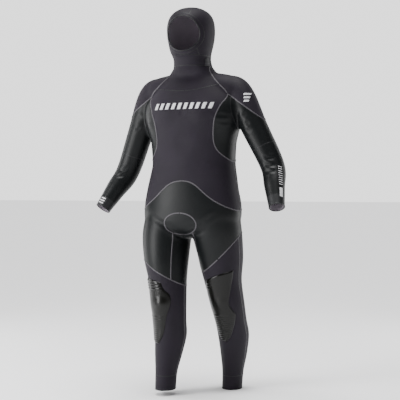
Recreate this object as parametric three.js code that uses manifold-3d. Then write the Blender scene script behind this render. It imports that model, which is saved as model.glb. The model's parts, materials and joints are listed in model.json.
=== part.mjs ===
// A hooded full wetsuit of foam neoprene, shaped as if it were worn: it faces -Y, the wearer's left is +X.
// The whole suit is one skin, an outer body less an inner body, which the seams then cut into its panels.
import * as THREE from "three";
import { mergeVertices } from "three/addons/utils/BufferGeometryUtils.js";
import Module from "manifold-3d";

const wasm = await Module();
wasm.setup();

// Material
const WALL = 5; // neoprene thickness
const SEAM_GAP = 0.4; // between neighbouring panels
const LAYER_GAP = 0.4; // under a piece that lies on a panel
const PAD_THICKNESS = 4;
const TAB_THICKNESS = 4;

// Heights above the lower hem
const INSIDE_LEG = 690;
const KNEE_HEIGHT = 398;
const RIGHT_HEM_HEIGHT = 25; // the right foot stands a little higher

// Heights above the crotch
const HIP_RISE = 90;
const WAIST_RISE = 320;
const CHEST_RISE = 540;
const SHOULDER_RISE = 635;
const NECK_RISE = 745;
const CHIN_RISE = 812;
const HOOD_HEIGHT = 198; // chin to crown

// Half widths and half depths of the body
const HIP_HALF = [220, 146];
const WAIST_HALF = [190, 126];
const CHEST_HALF = [222, 133];
const NECK_HALF = [80, 86];
const HOOD_HALF = [102, 121];
const BACK_Y = 146; // the back is straight along its zip

// Limb radii
const SHOULDER_R = 64;
const UPPER_ARM_R = 58;
const ELBOW_R = 53;
const FOREARM_R = 49;
const WRIST_R = 34;
const THIGH_HALF = [110, 122];
const KNEE_HALF = [75, 84];
const CALF_HALF = [69, 81];
const ANKLE_HALF = [45, 53];

// Arms: lengths, and how far they are held out and forward, in degrees
const UPPER_ARM = 362;
const FOREARM = 208;
const SHOULDER_OUT = 203;
const SHOULDER_Y = 30;
const ARM_POSE = {
  left: { upperOut: 27, upperFore: 3, foreOut: 16, foreFore: 28 },
  right: { upperOut: 19, upperFore: 3, foreOut: 25, foreFore: 27 },
};

// Where the leg's middle goes, x and y, at the shares of the thigh and the shin in LEG_STATIONS
const LEG_PATH = {
  right: [[-105, 5], [-112, -18], [-104, -45], [-91, -60], [-82, -66], [-80, -60], [-81, -50], [-90, -54], [-97, -62], [-100, -66]],
  left: [[105, 5], [114, 15], [121, 38], [127, 48], [142, 66], [146, 98], [146, 134], [139, 158], [131, 168], [126, 170]],
};

// Seams and openings
const CUFF_LENGTH = 42;
const ANKLE_SEAL = 62;
const SLEEVE_START = 215; // shoulder to the sleeve's stiff part, past the shoulder's flex panel
const CAP_LENGTH = 62; // shoulder to the lower edge of the shoulder cap
const ELBOW_FLEX = 42; // half the elbow's flex panel
const KNEE_FLEX = 56; // half the knee's flex panel
const HIP_SEAM_DROP = 10; // crotch to the upper edge of the hip flex panel
const HIP_FLEX = 84;
const FACE_HALF = [76, 76];
const FACE_RISE = 82; // chin to the middle of the face opening
const SEAL_WIDTH = 11;
const HOOD_STRIP_HALF = 32;
const NECK_PANEL_HEIGHT = 42;
const SIDE_SEAM_Y = 12;
const SIDE_PANEL_X = 138; // centre to the narrowest place of the side panels' front edge
const YOKE_DROP = 108; // neck to the middle of the yoke seam
const WAIST_SEAM_DROP = 72; // waist to the top of the waist seam's arch
const GUSSET_HALF = 74;
const GUSSET_RISE = 106;
const PAD_HALF = 52;
const PAD_UP = 98;
const PAD_DOWN = 172;
const PAD_TURN = { left: 5, right: -13 }; // degrees that the knee faces away from the front

// Back zip
const ZIP_ABOVE_SEAM = 18; // top of the waist seam to the lower end of the zip
const ZIP_TOP_DROP = 105; // neck to the upper end of the zip
const CHAIN_WIDTH = 6;
const TAPE_WIDTH = 34;
const TAPE_THICKNESS = 1.6;
const SLIDER = [13, 5, 20];
const PULL = [9, 2.4, 34];

// Mesh fineness
const BODY_SIDES = 20;
const LEG_SIDES = 12;
const ARM_SIDES = 10;

const crotchZ = INSIDE_LEG;
const hipZ = crotchZ + HIP_RISE;
const waistZ = crotchZ + WAIST_RISE;
const chestZ = crotchZ + CHEST_RISE;
const shoulderZ = crotchZ + SHOULDER_RISE;
const neckZ = crotchZ + NECK_RISE;
const chinZ = crotchZ + CHIN_RISE;
const crownZ = chinZ + HOOD_HEIGHT;
const FAR = 2 * crownZ; // farther than any part of the suit

const mix = (a, b, t) => a + (b - a) * t;
const mixPair = (a, b, t) => [mix(a[0], b[0], t), mix(a[1], b[1], t)];
const rad = THREE.MathUtils.degToRad;

// Value at t on straight lines through [t, value] pairs.
function along(table, t) {
  const next = Math.max(1, table.findIndex(([at]) => at >= t));
  const [[t0, v0], [t1, v1]] = [table[next - 1], table[next]];
  return mix(v0, v1, (t - t0) / (t1 - t0));
}

// A three.js geometry as a manifold solid, with its faces turned out.
function solidOf(geometry) {
  const bare = geometry.clone();
  bare.deleteAttribute("normal");
  bare.deleteAttribute("uv");
  const merged = mergeVertices(bare, 1e-4);
  const vertProperties = merged.attributes.position.array;
  const triVerts = new Uint32Array(merged.index.array);
  const made = new wasm.Manifold(new wasm.Mesh({ numProp: 3, vertProperties, triVerts }));
  if (made.volume() > 0) return made;
  triVerts.reverse();
  return new wasm.Manifold(new wasm.Mesh({ numProp: 3, vertProperties, triVerts }));
}

// A closed skin over rings that all have the same number of points.
function loft(rings) {
  const sides = rings[0].length;
  const points = rings.flat();
  const caps = [rings[0], rings.at(-1)].map((ring) =>
    ring.reduce((sum, p) => sum.add(p), new THREE.Vector3()).divideScalar(sides));
  const index = [];
  rings.slice(1).forEach((_, r) => {
    for (let i = 0; i < sides; i++) {
      const [a, b] = [r * sides + i, r * sides + ((i + 1) % sides)];
      index.push(a, b, a + sides, b, b + sides, a + sides);
    }
  });
  const last = (rings.length - 1) * sides;
  for (let i = 0; i < sides; i++) {
    const j = (i + 1) % sides;
    index.push(points.length, j, i, points.length + 1, last + i, last + j);
  }
  const geometry = new THREE.BufferGeometry().setFromPoints([...points, ...caps]);
  return solidOf(geometry.setIndex(index));
}

// A level oval ring. grow makes it larger all round.
function levelRing({ x = 0, y, z, half }, grow, sides) {
  return Array.from({ length: sides }, (_, i) => {
    const turn = (2 * Math.PI * i) / sides;
    return new THREE.Vector3(
      x + (half[0] + grow) * Math.cos(turn), y + (half[1] + grow) * Math.sin(turn), z);
  });
}

// A round ring across a direction, whose first point lies towards `side`.
function crossRing(middle, direction, side, half, sides) {
  const v = new THREE.Vector3().crossVectors(direction, side).normalize();
  const u = new THREE.Vector3().crossVectors(v, direction).normalize();
  return Array.from({ length: sides }, (_, i) => {
    const turn = (2 * Math.PI * i) / sides;
    return middle.clone().addScaledVector(u, half[0] * Math.cos(turn)).addScaledVector(v, half[1] * Math.sin(turn));
  });
}

// A prism over an outline of [across, z] points. It faces -Y, turned about a vertical line through `middle`,
// and reaches from `near` in front of that line to `far`.
function prism(outline, near, far, middle = [0, 0], turnDeg = 0) {
  const shape = new THREE.Shape(outline.map(([x, z]) => new THREE.Vector2(x, z)));
  const geometry = new THREE.ExtrudeGeometry(shape, { depth: far - near, bevelEnabled: false });
  geometry.rotateX(Math.PI / 2).translate(0, far, 0);
  return solidOf(geometry.rotateZ(rad(turnDeg)).translate(middle[0], middle[1], 0));
}

// The outline moved outwards by d, with square corners.
function grown(outline, d) {
  const turnsLeft = THREE.ShapeUtils.area(outline.map(([x, z]) => ({ x, y: z }))) > 0;
  const edgeNormal = ([x0, z0], [x1, z1]) => {
    const length = Math.hypot(x1 - x0, z1 - z0) * (turnsLeft ? 1 : -1);
    return [(z1 - z0) / length, (x0 - x1) / length];
  };
  return outline.map((p, i) => {
    const a = edgeNormal(outline.at(i - 1), p);
    const b = edgeNormal(p, outline[(i + 1) % outline.length]);
    const reach = d / (1 + a[0] * b[0] + a[1] * b[1]);
    return [p[0] + (a[0] + b[0]) * reach, p[1] + (a[1] + b[1]) * reach];
  });
}

const ellipse = (x, z, halfX, halfZ, count = 20) =>
  Array.from({ length: count }, (_, i) => {
    const turn = (2 * Math.PI * i) / count;
    return [x + halfX * Math.cos(turn), z + halfZ * Math.sin(turn)];
  });

const mainBody = (solid) =>
  solid.decompose().sort((a, b) => b.volume() - a.volume())[0];

// Cuts a panel out of a skin, and leaves a seam's gap round it.
function carve(skin, outline, near = -FAR, far = FAR) {
  return {
    panel: mainBody(skin.intersect(prism(outline, near, far))),
    rest: skin.subtract(prism(grown(outline, SEAM_GAP), near - SEAM_GAP, far + SEAM_GAP)),
  };
}

// Parts a skin at a plane: `ahead` lies where the direction points.
function part(skin, direction, point) {
  const n = new THREE.Vector3(...direction).normalize();
  const at = n.dot(new THREE.Vector3(...point));
  return {
    ahead: skin.trimByPlane(n.toArray(), at + SEAM_GAP / 2),
    behind: skin.trimByPlane(n.clone().negate().toArray(), -(at - SEAM_GAP / 2)),
  };
}

const box = ([x0, y0, z0], [x1, y1, z1]) =>
  solidOf(new THREE.BoxGeometry(x1 - x0, y1 - y0, z1 - z0)
    .translate((x0 + x1) / 2, (y0 + y1) / 2, (z0 + z1) / 2));

// ---- The body ----
const onBack = (z, half) => ({ z, y: BACK_Y - half[1], half });
const share = (half, s, t = s) => [half[0] * s, half[1] * t];

const torsoStations = [
  { z: crotchZ, y: 0, half: share(HIP_HALF, 0.32, 0.4) },
  { z: crotchZ + 25, y: 3, half: share(HIP_HALF, 0.68, 0.75) },
  { z: crotchZ + 70, y: 5, half: share(HIP_HALF, 0.98) },
  { z: crotchZ + 140, y: 8, half: HIP_HALF },
  onBack(mix(crotchZ + 140, waistZ, 0.39), mixPair(HIP_HALF, WAIST_HALF, 0.39)),
  onBack(mix(crotchZ + 140, waistZ, 0.69), mixPair(HIP_HALF, WAIST_HALF, 0.69)),
  onBack(waistZ, WAIST_HALF),
  onBack(mix(waistZ, chestZ, 0.28), mixPair(WAIST_HALF, CHEST_HALF, 0.1)),
  onBack(mix(waistZ, chestZ, 0.46), mixPair(WAIST_HALF, CHEST_HALF, 0.22)),
  onBack(mix(waistZ, chestZ, 0.64), mixPair(WAIST_HALF, CHEST_HALF, 0.52)),
  onBack(mix(waistZ, chestZ, 0.82), mixPair(WAIST_HALF, CHEST_HALF, 0.9)),
  onBack(chestZ, CHEST_HALF),
  onBack(mix(chestZ, shoulderZ, 0.5), share(CHEST_HALF, 0.97, 0.96)),
  onBack(shoulderZ + 15, share(CHEST_HALF, 0.8, 0.86)),
  { z: neckZ - 45, y: 30, half: share(CHEST_HALF, 0.6, 0.63) },
  { z: neckZ - 20, y: 22, half: [NECK_HALF[0] * 1.3, NECK_HALF[1] * 0.93] },
  { z: neckZ, y: 14, half: share(NECK_HALF, 1.08, 1) },
  { z: mix(neckZ, chinZ, 0.5), y: 3, half: NECK_HALF },
  { z: mix(neckZ, chinZ, 0.6), y: 2, half: NECK_HALF },
];
const hoodStations = [
  { z: neckZ, y: 14, half: share(NECK_HALF, 1.08, 1) },
  { z: mix(neckZ, chinZ, 0.5), y: 3, half: NECK_HALF },
  { z: chinZ, y: -12, half: mixPair(NECK_HALF, HOOD_HALF, 0.4) },
  { z: chinZ + HOOD_HEIGHT * 0.16, y: -12, half: mixPair(NECK_HALF, HOOD_HALF, 0.72) },
  { z: chinZ + HOOD_HEIGHT * 0.34, y: -12, half: share(HOOD_HALF, 0.99) },
  { z: chinZ + HOOD_HEIGHT * 0.54, y: -12, half: HOOD_HALF },
  { z: chinZ + HOOD_HEIGHT * 0.72, y: -9, half: share(HOOD_HALF, 0.93) },
  { z: chinZ + HOOD_HEIGHT * 0.86, y: -5, half: share(HOOD_HALF, 0.76) },
  { z: chinZ + HOOD_HEIGHT * 0.95, y: -1, half: share(HOOD_HALF, 0.5) },
];
const shoulderStations = [0, 0.4, 0.72, 0.94, 1.1].map((s) => ({
  s,
  z: along([[0, 1345], [0.72, 1335], [0.94, 1325], [1.1, 1316]], s) - 1325 + shoulderZ,
  y: mix(24, SHOULDER_Y, Math.min(s, 1)),
  half: [
    along([[0, 78], [0.72, 72], [0.94, SHOULDER_R], [1.1, SHOULDER_R * 0.74]], s),
    along([[0, 62], [0.72, 60], [0.94, SHOULDER_R * 0.9], [1.1, SHOULDER_R * 0.64]], s),
  ],
}));

const bodyLoft = (stations, grow, top = 0) => {
  const last = stations.at(-1);
  const cap = top ? [{ z: top + grow, y: last.y + 2, half: share(last.half, 0.16) }] : [];
  return loft([...stations.map((s) => levelRing(s, grow, BODY_SIDES)),
    ...cap.map((s) => levelRing(s, 0, BODY_SIDES))]);
};
// The crotch is lifted by the wall inside, so that it keeps its thickness.
const torso = (grow) =>
  bodyLoft(torsoStations.map((s, i) => (i ? s : { ...s, z: s.z - grow })), grow);
const hood = (grow) => bodyLoft(hoodStations, grow, crownZ);
const shoulders = (grow) => {
  const half = [...shoulderStations].reverse().map((s) => ({ ...s, s: -s.s }));
  return loft([...half, ...shoulderStations.slice(1)].map(({ s, y, z, half: [across, up] }) =>
    crossRing(new THREE.Vector3(s * SHOULDER_OUT + grow * Math.sign(s) * (Math.abs(s) > 1), y, z),
      new THREE.Vector3(1, 0, 0), new THREE.Vector3(0, -1, 0), [across + grow, up + grow], ARM_SIDES)));
};

// ---- The arms ----
const SIGN = { left: 1, right: -1 };
const heldOut = (side, out, fore) =>
  new THREE.Vector3(
    SIGN[side] * Math.sin(rad(out)) * Math.cos(rad(fore)), -Math.sin(rad(fore)), -Math.cos(rad(out)) * Math.cos(rad(fore)));

function armOf(side) {
  const pose = ARM_POSE[side];
  const upper = heldOut(side, pose.upperOut, pose.upperFore);
  const lower = heldOut(side, pose.foreOut, pose.foreFore);
  const shoulder = new THREE.Vector3(SIGN[side] * SHOULDER_OUT, SHOULDER_Y, shoulderZ);
  const elbow = shoulder.clone().addScaledVector(upper, UPPER_ARM);
  const cuff = elbow.clone().addScaledVector(lower, FOREARM);
  const curve = new THREE.CatmullRomCurve3([
    new THREE.Vector3(SIGN[side] * SHOULDER_OUT * 0.72, SHOULDER_Y, shoulderZ + 20),
    shoulder,
    shoulder.clone().lerp(elbow, 0.5),
    elbow,
    elbow.clone().lerp(cuff, 0.5),
    cuff,
  ]);
  const elbowShare = 1 - (FOREARM / curve.getLength());
  const radii = [[0, SHOULDER_R * 0.78], [0.14, SHOULDER_R], [0.36, UPPER_ARM_R], [elbowShare, ELBOW_R],
    [mix(elbowShare, 1, 0.35), FOREARM_R], [1, WRIST_R]];
  const rings = (grow, past) => {
    const made = Array.from({ length: 11 }, (_, i) => {
      const s = i / 10;
      const r = along(radii, s) + grow;
      return crossRing(curve.getPointAt(s), curve.getTangentAt(s), new THREE.Vector3(0, -1, 0), [r, r], ARM_SIDES);
    });
    if (past) made.push(made.at(-1).map((p) => p.clone().addScaledVector(curve.getTangentAt(1), past)));
    return made;
  };
  return { side, upper, lower, shoulder, elbow, cuff, solid: (grow, past = 0) => loft(rings(grow, past)) };
}
const arms = { left: armOf("left"), right: armOf("right") };

// ---- The legs ----
const LEG_STATIONS = [0, 0.23, 0.49, 0.74, 1, 1.2, 1.375, 1.6, 1.8, 2];
const legHalf = [THIGH_HALF, share(THIGH_HALF, 0.98), mixPair(THIGH_HALF, KNEE_HALF, 0.34), mixPair(THIGH_HALF, KNEE_HALF, 0.78),
  KNEE_HALF, mixPair(KNEE_HALF, CALF_HALF, 0.8), CALF_HALF, mixPair(CALF_HALF, ANKLE_HALF, 0.42),
  mixPair(CALF_HALF, ANKLE_HALF, 0.88), ANKLE_HALF];

function legOf(side) {
  const hem = side === "right" ? RIGHT_HEM_HEIGHT : 0;
  const stations = LEG_STATIONS.map((s, i) => ({
    x: LEG_PATH[side][i][0],
    y: LEG_PATH[side][i][1],
    z: s < 1 ? mix(hipZ + 10, KNEE_HEIGHT, s) : mix(KNEE_HEIGHT, hem, s - 1),
    half: legHalf[i],
  }));
  const solid = (grow, past = 0) =>
    loft([...stations, ...(past ? [{ ...stations.at(-1), z: hem - past }] : [])]
      .map((s) => levelRing(s, grow, LEG_SIDES)));
  return { side, hem, knee: [stations[4].x, stations[4].y, KNEE_HEIGHT], solid };
}
const legs = { left: legOf("left"), right: legOf("right") };

const everything = (grow, past) =>
  [torso(grow), hood(grow), shoulders(grow), arms.left.solid(grow, past), arms.right.solid(grow, past),
    legs.left.solid(grow, past), legs.right.solid(grow, past)].reduce((all, s) => all.add(s));
const faceZ = chinZ + FACE_RISE;
const faceHole = prism(ellipse(0, faceZ, ...FACE_HALF), -FAR, -15);
const skin = everything(0, 0).subtract(everything(-WALL, 20)).subtract(faceHole);

const pieces = {};

// ---- Sleeves ----
// Half the width of the torso at a height, and the x of the sleeve's underside there.
const torsoEdge = (z) => along(torsoStations.map((s) => [s.z, s.half[0]]), z);
function underside({ shoulder, upper }, z) {
  const middle = shoulder.x + (upper.x / upper.z) * (z - shoulder.z);
  return Math.abs(middle) - UPPER_ARM_R / Math.cos(Math.atan2(Math.abs(upper.x), -upper.z));
}
function armOutline(arm) {
  const sign = SIGN[arm.side];
  let armpit = shoulderZ - CAP_LENGTH;
  while (underside(arm, armpit) < torsoEdge(armpit)) armpit -= 2;
  const capEdge = arm.shoulder.clone().addScaledVector(arm.upper, CAP_LENGTH);
  const slope = arm.upper.x / arm.upper.z;
  const capZ = (x) => capEdge.z - slope * (x - capEdge.x);
  const inside = torsoEdge(armpit) - 24;
  const between = [4, 60, 140, 260].map((drop) => armpit - drop)
    .map((z) => [sign * mix(torsoEdge(z), underside(arm, z), 0.5), z]);
  return [[sign * inside, capZ(sign * inside)], [sign * inside, armpit + 14], ...between,
    [sign * between.at(-1)[0] * sign, KNEE_HEIGHT], [sign * FAR, KNEE_HEIGHT], [sign * FAR, capZ(sign * FAR)]];
}
let body = skin;
for (const arm of Object.values(arms)) {
  const { side, shoulder, upper, elbow, lower, cuff } = arm;
  const cut = carve(body, armOutline(arm));
  body = cut.rest;
  const place = (from, direction, distance) => from.clone().addScaledVector(direction, distance).toArray();
  const sleeve = part(cut.panel, upper.toArray(), place(shoulder, upper, SLEEVE_START));
  pieces[`shoulder_flex_${side}`] = mainBody(sleeve.behind);
  const past = part(sleeve.ahead, upper.toArray(), place(elbow, upper, -ELBOW_FLEX));
  pieces[`upper_sleeve_${side}`] = past.behind;
  const fore = part(past.ahead, lower.toArray(), place(elbow, lower, ELBOW_FLEX));
  pieces[`elbow_flex_${side}`] = fore.behind;
  const wrist = part(fore.ahead, lower.toArray(), place(cuff, lower, -CUFF_LENGTH));
  pieces[`forearm_sleeve_${side}`] = wrist.behind;
  pieces[`wrist_seal_${side}`] = wrist.ahead;
}

// ---- Legs, knee pads and ankle seals ----
const above = (solid, z) => part(solid, [0, 0, 1], [0, 0, z]);
const pelvis = above(body, crotchZ - HIP_SEAM_DROP);
body = pelvis.ahead;
const byLeg = part(pelvis.behind, [1, 0, 0], [mix(legs.left.knee[0], legs.right.knee[0], 0.5) - 18, 0, 0]);
for (const { side, hem, knee, solid } of Object.values(legs)) {
  const hipFlex = above(side === "left" ? byLeg.ahead : byLeg.behind, crotchZ - HIP_SEAM_DROP - HIP_FLEX);
  pieces[`hip_flex_${side}`] = mainBody(hipFlex.ahead);
  const thigh = above(hipFlex.behind, KNEE_HEIGHT + KNEE_FLEX);
  const front = part(thigh.ahead, [0, -1, 0], [0, knee[1] - (side === "left" ? 16 : -10), 0]);
  pieces[`thigh_front_${side}`] = mainBody(front.ahead);
  pieces[`thigh_back_${side}`] = mainBody(front.behind);
  const shin = above(thigh.behind, KNEE_HEIGHT - KNEE_FLEX);
  pieces[`knee_flex_${side}`] = shin.ahead;
  const ankle = above(shin.behind, hem + ANKLE_SEAL);
  pieces[`ankle_seal_${side}`] = ankle.behind;
  const lean = LEG_PATH[side].at(-1)[1] - knee[1];
  const calf = part(ankle.ahead, [0, KNEE_HEIGHT - hem, lean], [0, knee[1], KNEE_HEIGHT]);
  pieces[`calf_panel_${side}`] = mainBody(calf.ahead);
  pieces[`shin_panel_${side}`] = mainBody(calf.behind);
  const layer = solid(LAYER_GAP + PAD_THICKNESS).subtract(solid(LAYER_GAP, 20));
  const outline = [[-0.8 * PAD_HALF, PAD_UP - 8], [0, PAD_UP], [0.8 * PAD_HALF, PAD_UP - 8], [PAD_HALF, PAD_UP * 0.5],
    [PAD_HALF, -0.2 * PAD_DOWN], [0.82 * PAD_HALF, -0.72 * PAD_DOWN], [0.4 * PAD_HALF, -PAD_DOWN],
    [-0.4 * PAD_HALF, -PAD_DOWN], [-0.82 * PAD_HALF, -0.72 * PAD_DOWN], [-PAD_HALF, -0.2 * PAD_DOWN], [-PAD_HALF, PAD_UP * 0.5]];
  const raised = outline.map(([x, z]) => [x, z + KNEE_HEIGHT]);
  pieces[`knee_pad_${side}`] = mainBody(layer.intersect(prism(raised, -FAR, 0, knee, PAD_TURN[side])));
}

// ---- Hood and neck ----
const neck = above(body, neckZ + 4);
body = neck.behind;
const hooded = above(neck.ahead, neckZ + 4 + NECK_PANEL_HEIGHT);
pieces.neck_panel = mainBody(hooded.behind);
const seal = carve(hooded.ahead, ellipse(0, faceZ, FACE_HALF[0] + SEAL_WIDTH, FACE_HALF[1] + SEAL_WIDTH), -FAR, -15);
pieces.face_seal = seal.panel;
const chin = carve(seal.rest, [[-FACE_HALF[0] * 0.8, neckZ], [FACE_HALF[0] * 0.8, neckZ],
  [FACE_HALF[0] * 0.8, faceZ - 20], [-FACE_HALF[0] * 0.8, faceZ - 20]], -FAR, -30);
pieces.chin_panel = chin.panel;
const strip = carve(chin.rest, [[-HOOD_STRIP_HALF, neckZ], [HOOD_STRIP_HALF, neckZ], [HOOD_STRIP_HALF, crownZ + 20],
  [-HOOD_STRIP_HALF, crownZ + 20]]);
pieces.hood_centre = strip.panel;
const hoodSides = part(strip.rest, [1, 0, 0], [0, 0, 0]);
pieces.hood_side_left = mainBody(hoodSides.ahead);
pieces.hood_side_right = mainBody(hoodSides.behind);

// ---- Torso panels ----
const raglan = (sign) => [[sign * 84, neckZ - 22], [sign * 150, shoulderZ + 20], [sign * 197, chestZ + 62]];
for (const [side, sign] of Object.entries(SIGN)) {
  const cap = carve(body, [[sign * 76, neckZ + 40], ...raglan(sign), [sign * 190, chestZ - 20], [sign * FAR, chestZ - 20],
    [sign * FAR, neckZ + 40]]);
  pieces[`shoulder_cap_${side}`] = cap.panel;
  body = cap.rest;
}
const seamDrops = [[0, 0], [50, 8], [110, 53], [190, 110], [225, 138], [FAR, 138]];
const waistSeam = [...seamDrops.map(([x, drop]) => [-x, drop]).reverse(), ...seamDrops.slice(1)]
  .map(([x, drop]) => [x, waistZ - WAIST_SEAM_DROP - drop]);
const lower = carve(body, [...waistSeam, [FAR, 0], [-FAR, 0]]);
const upperBody = lower.rest;
const lowerBody = body.intersect(prism([...waistSeam, [FAR, 0], [-FAR, 0]], -FAR, FAR));
const gusset = carve(lowerBody, ellipse(0, crotchZ + GUSSET_RISE - 62, GUSSET_HALF, 62, 20), -FAR, SIDE_SEAM_Y + 30);
pieces.crotch_gusset = gusset.panel;
const hips = part(gusset.rest, [0, -1, 0], [0, SIDE_SEAM_Y, 0]);
pieces.hip_panel = mainBody(hips.ahead);
pieces.seat_panel = mainBody(hips.behind);

let trunk = upperBody;
for (const [side, sign] of Object.entries(SIGN)) {
  const x = sign * SIDE_PANEL_X;
  const cut = carve(trunk, [[sign * 178, chestZ + 60], [sign * 150, chestZ + 30], [x, chestZ - 40], [x - sign * 4, chestZ - 110],
    [x, chestZ - 150], [sign * 172, waistZ - 10], [sign * FAR, waistZ - 60], [sign * FAR, chestZ + 60]]);
  pieces[`side_panel_${side}`] = cut.panel;
  trunk = cut.rest;
}
const yokeZ = neckZ - YOKE_DROP;
const frontBack = part(trunk, [0, -1, 0], [0, SIDE_SEAM_Y, 0]);
const yoke = carve(mainBody(frontBack.ahead), [[-FAR, yokeZ + 20], [-150, yokeZ + 16], [-60, yokeZ + 2], [0, yokeZ],
  [60, yokeZ + 6], [150, yokeZ + 32], [FAR, yokeZ + 40], [FAR, neckZ + 60], [-FAR, neckZ + 60]]);
pieces.yoke_panel = yoke.panel;
pieces.chest_panel = mainBody(yoke.rest);

// ---- Back panels and zip ----
const zipTop = neckZ - ZIP_TOP_DROP;
const zipBottom = waistZ - WAIST_SEAM_DROP + ZIP_ABOVE_SEAM;
const chainHalf = CHAIN_WIDTH / 2;
const slot = box([-chainHalf - LAYER_GAP, 0, zipBottom - LAYER_GAP], [chainHalf + LAYER_GAP, FAR, zipTop + LAYER_GAP]);
const halves = part(mainBody(frontBack.behind).subtract(slot), [1, 0, 0], [0, 0, 0]);
pieces.back_panel_left = mainBody(halves.ahead);
pieces.back_panel_right = mainBody(halves.behind);
pieces.zip_chain = box([-chainHalf, BACK_Y - WALL, zipBottom], [chainHalf, BACK_Y, zipTop]);
// The tape is flat, so it lies in from the wall by as much as the wall bends away from it.
const tapeFace = BACK_Y - WALL - LAYER_GAP - (TAPE_WIDTH / 2) * Math.tan(Math.PI / BODY_SIDES);
pieces.zip_tape = box([-TAPE_WIDTH / 2, tapeFace - TAPE_THICKNESS, zipBottom - 12], [TAPE_WIDTH / 2, tapeFace, zipTop + 8]);
const sliderFoot = BACK_Y + LAYER_GAP;
pieces.zip_slider = box([-SLIDER[0] / 2, sliderFoot, zipTop - SLIDER[2] - 4], [SLIDER[0] / 2, sliderFoot + SLIDER[1], zipTop - 4]);
const pullFoot = sliderFoot + SLIDER[1] + LAYER_GAP;
const pullTop = zipTop - SLIDER[2] / 2;
pieces.zip_pull = box([-PULL[0] / 2, pullFoot, pullTop - PULL[2]], [PULL[0] / 2, pullFoot + PULL[1], pullTop]);

// ---- The tab at the left of the neck ----
const tabMiddle = [0, 8];
const tabLayer = torso(LAYER_GAP + TAB_THICKNESS).add(hood(LAYER_GAP + TAB_THICKNESS))
  .subtract(torso(LAYER_GAP)).subtract(hood(LAYER_GAP)).subtract(shoulders(LAYER_GAP));
pieces.neck_tab = mainBody(tabLayer.intersect(
  prism([[-18, neckZ + 2], [18, neckZ + 2], [18, neckZ + 32], [0, neckZ + 38], [-18, neckZ + 32]], -FAR, 0, tabMiddle, 74)));

// ---- Looks and the scene ----
const JERSEY = { color: 0x2b2630, roughness: 0.9, metalness: 0 };
const SMOOTH_SKIN = { color: 0x1a1d1e, roughness: 0.45, metalness: 0 };
const MOULDED = { color: 0x34352f, roughness: 0.25, metalness: 0 };
const ZIP_PARTS = { color: 0x202124, roughness: 0.35, metalness: 0.1 };
const lookOf = (name) => {
  if (name.startsWith("knee_pad")) return MOULDED;
  if (name.startsWith("zip")) return ZIP_PARTS;
  return /seal|side_panel|sleeve|hip|seat|gusset|elbow|shoulder_flex/.test(name) ? SMOOTH_SKIN : JERSEY;
};

const wetsuit = new THREE.Group();
for (const [name, solid] of Object.entries(pieces)) {
  const { vertProperties, triVerts } = solid.getMesh();
  const geometry = new THREE.BufferGeometry();
  geometry.setAttribute("position", new THREE.BufferAttribute(vertProperties, 3));
  geometry.setIndex(new THREE.BufferAttribute(triVerts, 1));
  const mesh = new THREE.Mesh(geometry, new THREE.MeshStandardMaterial(lookOf(name)));
  mesh.name = name;
  wetsuit.add(mesh);
}

// The origin is the middle of the suit's footprint, level with the lower hem.
wetsuit.updateMatrixWorld(true);
const extent = new THREE.Box3().setFromObject(wetsuit);
const middle = extent.getCenter(new THREE.Vector3());
wetsuit.position.set(-middle.x, -middle.y, -extent.min.z);

export default wetsuit;
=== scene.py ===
import json
import math

import bmesh
import bpy
import numpy as np
from mathutils import Matrix, Vector
from mathutils.bvhtree import BVHTree


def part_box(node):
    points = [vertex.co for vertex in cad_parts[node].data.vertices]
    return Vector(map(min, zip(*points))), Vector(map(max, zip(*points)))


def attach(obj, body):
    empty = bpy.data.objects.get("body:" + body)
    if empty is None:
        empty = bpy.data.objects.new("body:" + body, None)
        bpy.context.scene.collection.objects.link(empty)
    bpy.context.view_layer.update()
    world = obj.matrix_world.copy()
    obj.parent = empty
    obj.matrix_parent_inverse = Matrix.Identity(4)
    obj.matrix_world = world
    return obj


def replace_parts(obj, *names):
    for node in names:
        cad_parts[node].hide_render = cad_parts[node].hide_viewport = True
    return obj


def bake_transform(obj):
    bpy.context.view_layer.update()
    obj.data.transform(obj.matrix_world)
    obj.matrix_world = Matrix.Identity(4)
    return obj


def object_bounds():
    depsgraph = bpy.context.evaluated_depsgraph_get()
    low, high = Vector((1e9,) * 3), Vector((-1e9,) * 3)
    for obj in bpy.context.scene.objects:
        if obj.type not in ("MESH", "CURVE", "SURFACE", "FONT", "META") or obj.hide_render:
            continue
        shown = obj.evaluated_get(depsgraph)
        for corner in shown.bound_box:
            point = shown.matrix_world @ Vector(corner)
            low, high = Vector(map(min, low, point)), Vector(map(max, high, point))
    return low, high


bl_info = {
    "name": "Hooded wetsuit",
    "version": (1, 0, 0),
    "blender": (4, 5, 0),
    "location": "3D View > Sidebar > Wetsuit",
    "description": "Builds a hooded full wetsuit from its panels, tapes, pads and back zip",
    "category": "Object",
}

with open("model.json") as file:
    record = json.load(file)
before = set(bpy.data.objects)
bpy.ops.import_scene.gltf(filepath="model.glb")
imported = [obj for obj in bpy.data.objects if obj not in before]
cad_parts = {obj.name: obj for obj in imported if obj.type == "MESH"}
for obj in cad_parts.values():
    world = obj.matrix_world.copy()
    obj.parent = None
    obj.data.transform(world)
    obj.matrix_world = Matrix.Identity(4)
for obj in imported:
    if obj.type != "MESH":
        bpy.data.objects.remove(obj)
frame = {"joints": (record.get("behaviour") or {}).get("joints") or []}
cad_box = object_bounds()
JOINTS = {j["name"]: j for j in frame["joints"]}

# Everything below is drawn in millimetres about the wearer's own middle line, and new_mesh() brings it home.
HIP_MIDDLE = sum((Vector(JOINTS["hip_" + s]["pos_m"]) for s in ("left", "right")), Vector()) / 2
HOME = np.array(HIP_MIDDLE) - np.array([0, 0.005, 0.780])
X_AXIS, Y_AXIS, Z_AXIS = np.eye(3)
SIGN = {"left": 1, "right": -1}


def own(point):
    """A point of the frame, in the suit's own millimetres."""
    return (np.array(point) - HOME) * 1000


# ---------------------------------------------------------------- colours and materials


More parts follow.
